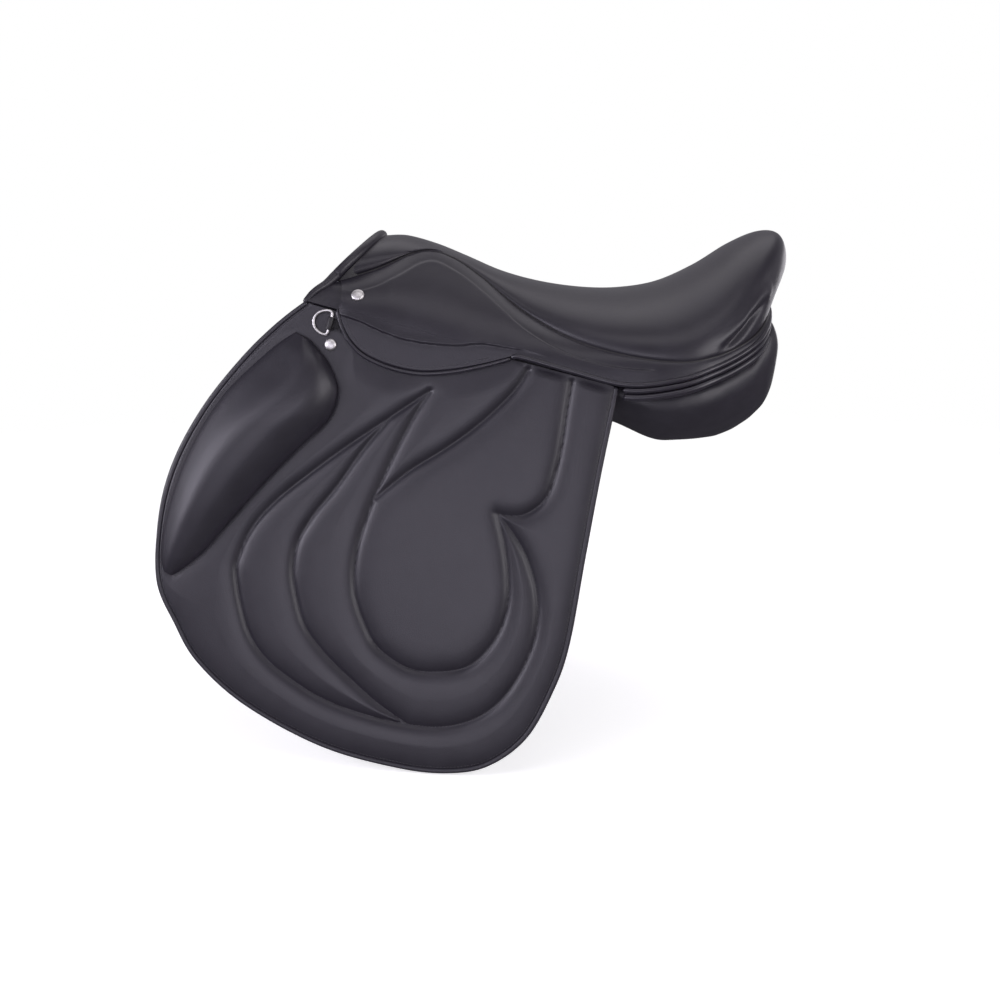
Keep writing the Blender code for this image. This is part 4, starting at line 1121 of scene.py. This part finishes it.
knee_seam = curve([(row[2] + 2.2, row[3] + 1) for row in KNEE_RIBS], 60)
sewn = {"channel_stitches_" + name: even(line, 2.0) for name, line in CHANNELS.items()}
sewn["binding_stitches"] = inside_edge(FLAP_EDGE, 6.6, 8)
sewn["knee_pad_stitches"] = even(knee_seam, 2.0)
for name, path in sewn.items():
    finish_pair(stitches("near_" + name, on_face(path)), "thread", body="flap")
finish_pair(stitches("near_skirt_stitches", along_skirt(4.4, 0.15, 6)), "thread", body="skirt")
for out, name in ((SWEAT_TOP, "outer"), (SWEAT_BACK, "inner")):
    path = [on_flap(u, v, out) / MM for u, v in inside_edge(SWEAT_FLAP_EDGE, 6.0, 10)]
    finish_pair(stitches("near_sweat_flap_stitches_" + name, path), "thread")


# Girth straps
BILLET_HEAD = 22
BILLET_HALF = 12.5
FIRST_HOLE = 165
HOLE_PITCH = 25
HOLE_RADIUS = 2.4


def billet(name, station):
    lean = math.atan2(-ALONG.z, -DOWN.z)

    def place(side, down, out):
        along = station + side * math.cos(lean) + down * math.sin(lean)
        fall = BILLET_HEAD - side * math.sin(lean) + down * math.cos(lean)
        return on_flap(along, fall, out)

    outline = [(BILLET_HALF * math.cos(a), -BILLET_HALF * math.sin(a))
               for a in np.linspace(0, math.pi, 17)]
    outline += [(-BILLET_HALF, 306), (-7.5, 315), (-3, 319.5)]
    outline += [(3, 319.5), (7.5, 315), (BILLET_HALF, 306)]
    holes = [(0, FIRST_HOLE + HOLE_PITCH * number, HOLE_RADIUS) for number in range(6)]
    return slab(name, outline, BILLET_BACK + 0.1, BILLET_TOP - 0.1, 0.8, place=place, holes=holes)


for place_name, station in BILLET_STATIONS.items():
    strap = billet("near_girth_strap_" + place_name, station)
    finish_pair(strap, "strap", "billet_" + place_name, "billet_" + place_name)


# Panels: flocked cushions that carry the saddle
def panel():
    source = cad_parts["left_panel"]
    piece = source.copy()
    piece.data = source.data.copy()
    piece.name = piece.data.name = "near_panel_cushion"
    for key in list(piece.keys()):
        del piece[key]
    piece.parent = None
    piece.matrix_world = Matrix.Identity(4)
    bpy.context.collection.objects.link(piece)
    close_up(piece)
    apply_modifier(piece, "REMESH", mode="VOXEL", voxel_size=2.6 * MM)
    apply_modifier(piece, "SMOOTH", factor=0.5, iterations=28)
    press(piece, np.full(len(piece.data.vertices), 0.7))
    put(piece, stuffed(places(piece) / MM) * MM)
    shade(piece, 80)
    return piece


def stuffed(spots):
    """The cushion's line: drawn up ahead of its rear bulge, swelling to the welts at its end."""
    x, y, z = spots.T
    outer = 0.75 + 0.25 * soft_step(-y, 40, 100)
    drawn = soft_step(x, -150, -50) * (1 - soft_step(x, 28, 96))
    drawn *= outer * (1 - soft_step(z, 0, 80))
    swell = soft_step(x, 176, 214) * soft_step(z, 30, 92)
    tipped = 7 * soft_step(z, 66, 92)
    return np.stack([x + (5 - tipped) * swell, y, z + 22 * drawn + 32 * swell], axis=1)


finish_pair(panel(), "panel", "panel")


# Steel: nails, dee ring and its chape
NAIL_RIM = 0.6
NAIL_DOME = 2.4


def nail(name, radius, centre, side, up, out):
    clear_selection()
    bpy.ops.mesh.primitive_uv_sphere_add(segments=36, ring_count=18, radius=1)
    piece = named(name)
    spots = places(piece)
    spots[:, 2] = np.where(spots[:, 2] > 0, NAIL_RIM + spots[:, 2] * NAIL_DOME, 0.0)
    spots[:, :2] *= radius
    put(piece, [(centre + side * x + up * y + out * z) * MM for x, y, z in spots])
    close_up(piece)
    shade(piece, 50)
    return piece


stud_centre = HINGE_FRONT + ALONG * 18 + DOWN * 37 + OUT * (FLAP_TOP + 0.3)
finish_pair(nail("near_stud_head", 6.0, stud_centre, ALONG, -DOWN, OUT), "bright", "flap_stud",
            "flap")
row, ahead = curve_at(SKIRT_ROWS[:3], 0.28), curve_at(SKIRT_ROWS[:3], 0.36)
centre = skirt_point(row, 0.62)
fall = skirt_point(row, 0.72) - centre
side = (skirt_point(ahead, 0.62) - centre).normalized()
out = fall.cross(side).normalized()
finish_pair(nail("near_skirt_nail", 6.5, centre + out * 0.2, side, out.cross(side), out), "bright",
            "head_nail")

DEE_WIRE = 1.4
DEE_CENTRE = (12.0, 17.0, FLAP_TOP + 0.3 + DEE_WIRE)
CHAPE_EYE = 3.2
CHAPE_LEATHER = 1.5
CHAPE_HALF = 6.5


def on_dee(u, v, out=0.0):
    """A place of the near flap, from the middle of the dee ring's straight side."""
    return on_flap(DEE_CENTRE[0] + u, DEE_CENTRE[1] + v, DEE_CENTRE[2] + out)


def dee():
    route = [(0, 9), (0, -9), (-0.9, -11.1)]
    for angle in np.linspace(-math.pi / 2, -1.5 * math.pi, 25):
        route.append((14 * math.cos(angle) - 3, 12 * math.sin(angle)))
    route.append((-0.9, 11.1))
    path = [tuple(on_dee(u, -v) / MM) for u, v in route]
    return wire("near_dee_wire", even(path + path[:1], 1.4)[:-1], DEE_WIRE, 14, closed=True)


def chape():
    """A leather loop round the dee's straight side, its tail nailed under the skirt."""
    low = -CHAPE_EYE
    top = low + CHAPE_LEATHER
    start = math.asin(top / CHAPE_EYE)
    outline = [(CHAPE_EYE * math.cos(angle), CHAPE_EYE * math.sin(angle))
               for angle in np.linspace(start, start + 2 * math.pi - 0.98, 25)]
    outline = [(u, w) for u, w in outline if u <= 0 or w >= top]
    outline += [(0.5, low), (25, low), (26, low + 0.4), (26, low + 1.1), (25, top)]
    return slab("near_dee_loop", outline, -CHAPE_HALF, CHAPE_HALF, 0.4, 2,
                place=lambda u, w, across: on_dee(u, across, w), holes=[(0, 0, 1.5)])


finish_pair(dee(), "bright", "dee_ring", "dee")
finish_pair(chape(), "strap", "dee_chape", "flap")


# Cloth and linings: webs over the tree, the straps' webs, facings and gullet lining
# Line of the facing's lower edge under the pommel, then of the tree's rear edge
ARCH_EDGE = [(0, 155), (30, 151), (58, 140.5), (80, 121), (90, 104)]
CANTLE_BACK = [(202, 0), (200.5, 26), (195, 50), (184, 74), (170, 98), (146, 115), (118, 126)]
ARCH_X = -201
ARCH_BULGE = 3.0


def cloth(name, look, place, across, along, thick, node=None):
    """A sheet of cloth or thin leather drawn tight over what it rests on."""
    piece = skin(name, across, along, place, FINE_WELD)
    thicken(piece, thick, 0)
    finish_piece(piece, look, node)


def over_deck(x_range, half_width, drop):
    def place(across, along):
        x = x_range[0] + (x_range[1] - x_range[0]) * along
        y = half_width * (2 * across - 1)
        return Vector((x, y, deck(x, y) - drop)) * MM
    return place


def pommel_place(across, down):
    share = 2 * across - 1
    top = seat_point(SEAT_RIBS[0], share * math.pi / 2)
    y, z = curve_at(ARCH_EDGE, abs(share))
    low = Vector((ARCH_X, math.copysign(y, share), z))
    bulge = Vector((-ARCH_BULGE, 0, 0)) * math.sin(math.pi * down)
    return (top.lerp(low, down) + bulge) * MM


def cantle_place(across, down):
    share = 2 * across - 1
    x, y = curve_at(CANTLE_BACK, abs(share))
    y = math.copysign(y, share)
    inward = 9 * max(down - 0.7, 0) / 0.3
    fall = 24.5 * min(down / 0.7, 1)
    x, y = x * (1 - inward / 200), y * (1 - inward / 200)
    return Vector((x, y, deck(x, y) + 9 - fall)) * MM


def strap_web_place(side):
    def place(across, along):
        x, y, z = on_flap(155.5 + 77 * along, -8 + 17.2 * across, 0.5 * (BILLET_TOP + BILLET_BACK))
        return Vector((x, side * y, z))
    return place


cloth("seat_web_long", "web", over_deck((-155, 194), 25, 4), 16, 110, 1.7,
      "web_long")
cloth("seat_web_cross", "web", over_deck((-10, 42), 112, 1), 60, 18, 1.7,
      "web_cross")
cloth("gullet_lining", "lining", over_deck((-160, 195), 54, 14.4), 38, 90, 1.2)
for side, name, node in ((1, "near", "left_billet_web"), (-1, "off", "right_billet_web")):
    cloth(name + "_strap_web", "web", strap_web_place(side), 10, 36, 3.4,
          node)
cloth("pommel_facing", "lining", pommel_place, 90, 24, 1.6)
cloth("cantle_facing", "lining", cantle_place, 90, 16, 1.4)


# Frame parts that keep their shape
kept = {"tree": "wood", "head_plate": "plate", "gullet_plate": "plate"}
for side in ("left_", "right_"):
    kept |= {side + "stirrup_bar": "forged", side + "bar_catch": "forged",
             side + "catch_pin": "bright"}
for node, look in kept.items():
    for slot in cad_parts[node].material_slots:
        slot.material = LOOKS[look]


# Floor, light and camera
FLOOR_LEVEL = -0.3165
FLOOR_PALE = (0.90, 0.90, 0.90)
FLOOR_DARK = (0.86, 0.86, 0.86)
FLOOR_GLOW = 0.09
WALL_GLOW = 0.35
SKY_GLOW = 0.16
WHITE = (1, 1, 1)
SKY_WHITE = (0.95, 0.92, 1)
SOFT_WHITE = (0.985, 0.955, 1)
COOL_WHITE = (0.90, 0.865, 1)


def floor_finish():
    """A pale floor that fades into the white of the room."""
    finish = Finish("pale_floor", Specular_IOR_Level=0.2, Roughness=0.9, Emission_Strength=0.6,
                    Emission_Color=WHITE)
    cloud = finish.noise(3, 3, 0.5)
    finish.set(finish.shader, {"Base_Color": finish.mix(cloud, FLOOR_DARK, FLOOR_PALE)})
    away = finish.node("VectorMath", {"operation": "LENGTH"}, {"Vector": finish.where()}, "Value")
    open_air = finish.node("BsdfTransparent")
    covered = Value(finish.tree, finish.shader.outputs[0])
    surface = finish.node("MixShader", None, {0: away.above(1.5, 1.7), 1: covered, 2: open_air})
    finish.set(finish.tree.nodes["Material Output"], {"Surface": surface})
    return finish.material


def studio():
    """White walls behind the object, and soft light that falls off towards the floor."""
    world = bpy.data.worlds.new("studio")
    world.use_nodes = True
    tree = world.node_tree
    shown = tree.nodes["Background"]
    feed(tree, shown.inputs["Color"], WHITE)
    lit = tree.nodes.new("ShaderNodeBackground")
    feed(tree, lit.inputs["Color"], SKY_WHITE)
    height = tree.nodes.new("ShaderNodeSeparateXYZ")
    tree.links.new(tree.nodes.new("ShaderNodeTexCoord").outputs["Generated"], height.inputs[0])
    level = Value(tree, height.outputs["Z"])
    glow = (FLOOR_GLOW + (WALL_GLOW - FLOOR_GLOW) * level.above(-0.05, 0.25)
            + (SKY_GLOW - WALL_GLOW) * level.above(0.45, 0.4))
    feed(tree, lit.inputs["Strength"], glow)
    both = tree.nodes.new("ShaderNodeMixShader")
    sight = tree.nodes.new("ShaderNodeLightPath").outputs["Is Camera Ray"]
    for slot, given in zip(both.inputs, (sight, lit.outputs[0], shown.outputs[0])):
        tree.links.new(given, slot)
    tree.links.new(both.outputs[0], tree.nodes["World Output"].inputs["Surface"])
    bpy.context.scene.world = world


def link(name, data, place):
    body = bpy.data.objects.new(name, data)
    bpy.context.collection.objects.link(body)
    body.location = place
    return body


clear_selection()
bpy.ops.mesh.primitive_plane_add(size=16, location=(0, 0, FLOOR_LEVEL))
floor = named("floor")
floor.data.materials.append(floor_finish())
floor.visible_glossy = False
studio()
bpy.context.scene.view_settings.view_transform = "Standard"

# Lights: name, place, aim to the side, size, power and colour
for name, place, aim_y, size, power, colour in (
    ("front_side", (-2.0, -0.7, 0.5), -0.1, (0.9, 0.9), 16.5, COOL_WHITE),
    ("left", (-1.5, -1.5, 0.9), -0.1, (0.9, 0.9), 5.5, COOL_WHITE),
    ("overhead", (0.0, -0.9, 2.0), -0.1, (1.8, 0.9), 7.2, SOFT_WHITE),
    ("top", (0.0, 1.1, 2.0), -0.1, (2.4, 1.6), 10.5, SOFT_WHITE),
    ("right", (1.45, -1.55, 0.55), -0.1, (0.9, 1.4), 15, SOFT_WHITE),
    ("right_side", (2.0, -0.6, 0.8), -0.1, (0.9, 0.9), 7.5, SOFT_WHITE),
    ("low_front", (-0.5, -2.3, 0.2), -0.1, (1.2, 0.6), 8.8, COOL_WHITE),
    ("off_side", (-1.7, 1.8, 0.1), 0.1, (1.2, 0.8), 9, SOFT_WHITE),
    ("off_rear", (1.2, 2.2, 0.0), 0.1, (1.2, 0.8), 5, SOFT_WHITE),
):
    lamp = bpy.data.lights.new(name, "AREA")
    lamp.shape = "RECTANGLE"
    lamp.size, lamp.size_y = size
    lamp.energy = power
    lamp.color = colour
    toward = Vector((-0.1, aim_y, 0)) - Vector(place)
    link(name, lamp, place).rotation_euler = toward.to_track_quat("-Z", "Y").to_euler()

lens = bpy.data.cameras.new("portrait")
lens.lens = 46.8
lens.sensor_width = 36
lens.clip_start = 0.05
camera = link("portrait", lens, (-0.07, -1.4085, 0.2134))
camera.rotation_euler = (math.radians(78), 0, 0)
bpy.context.scene.camera = camera
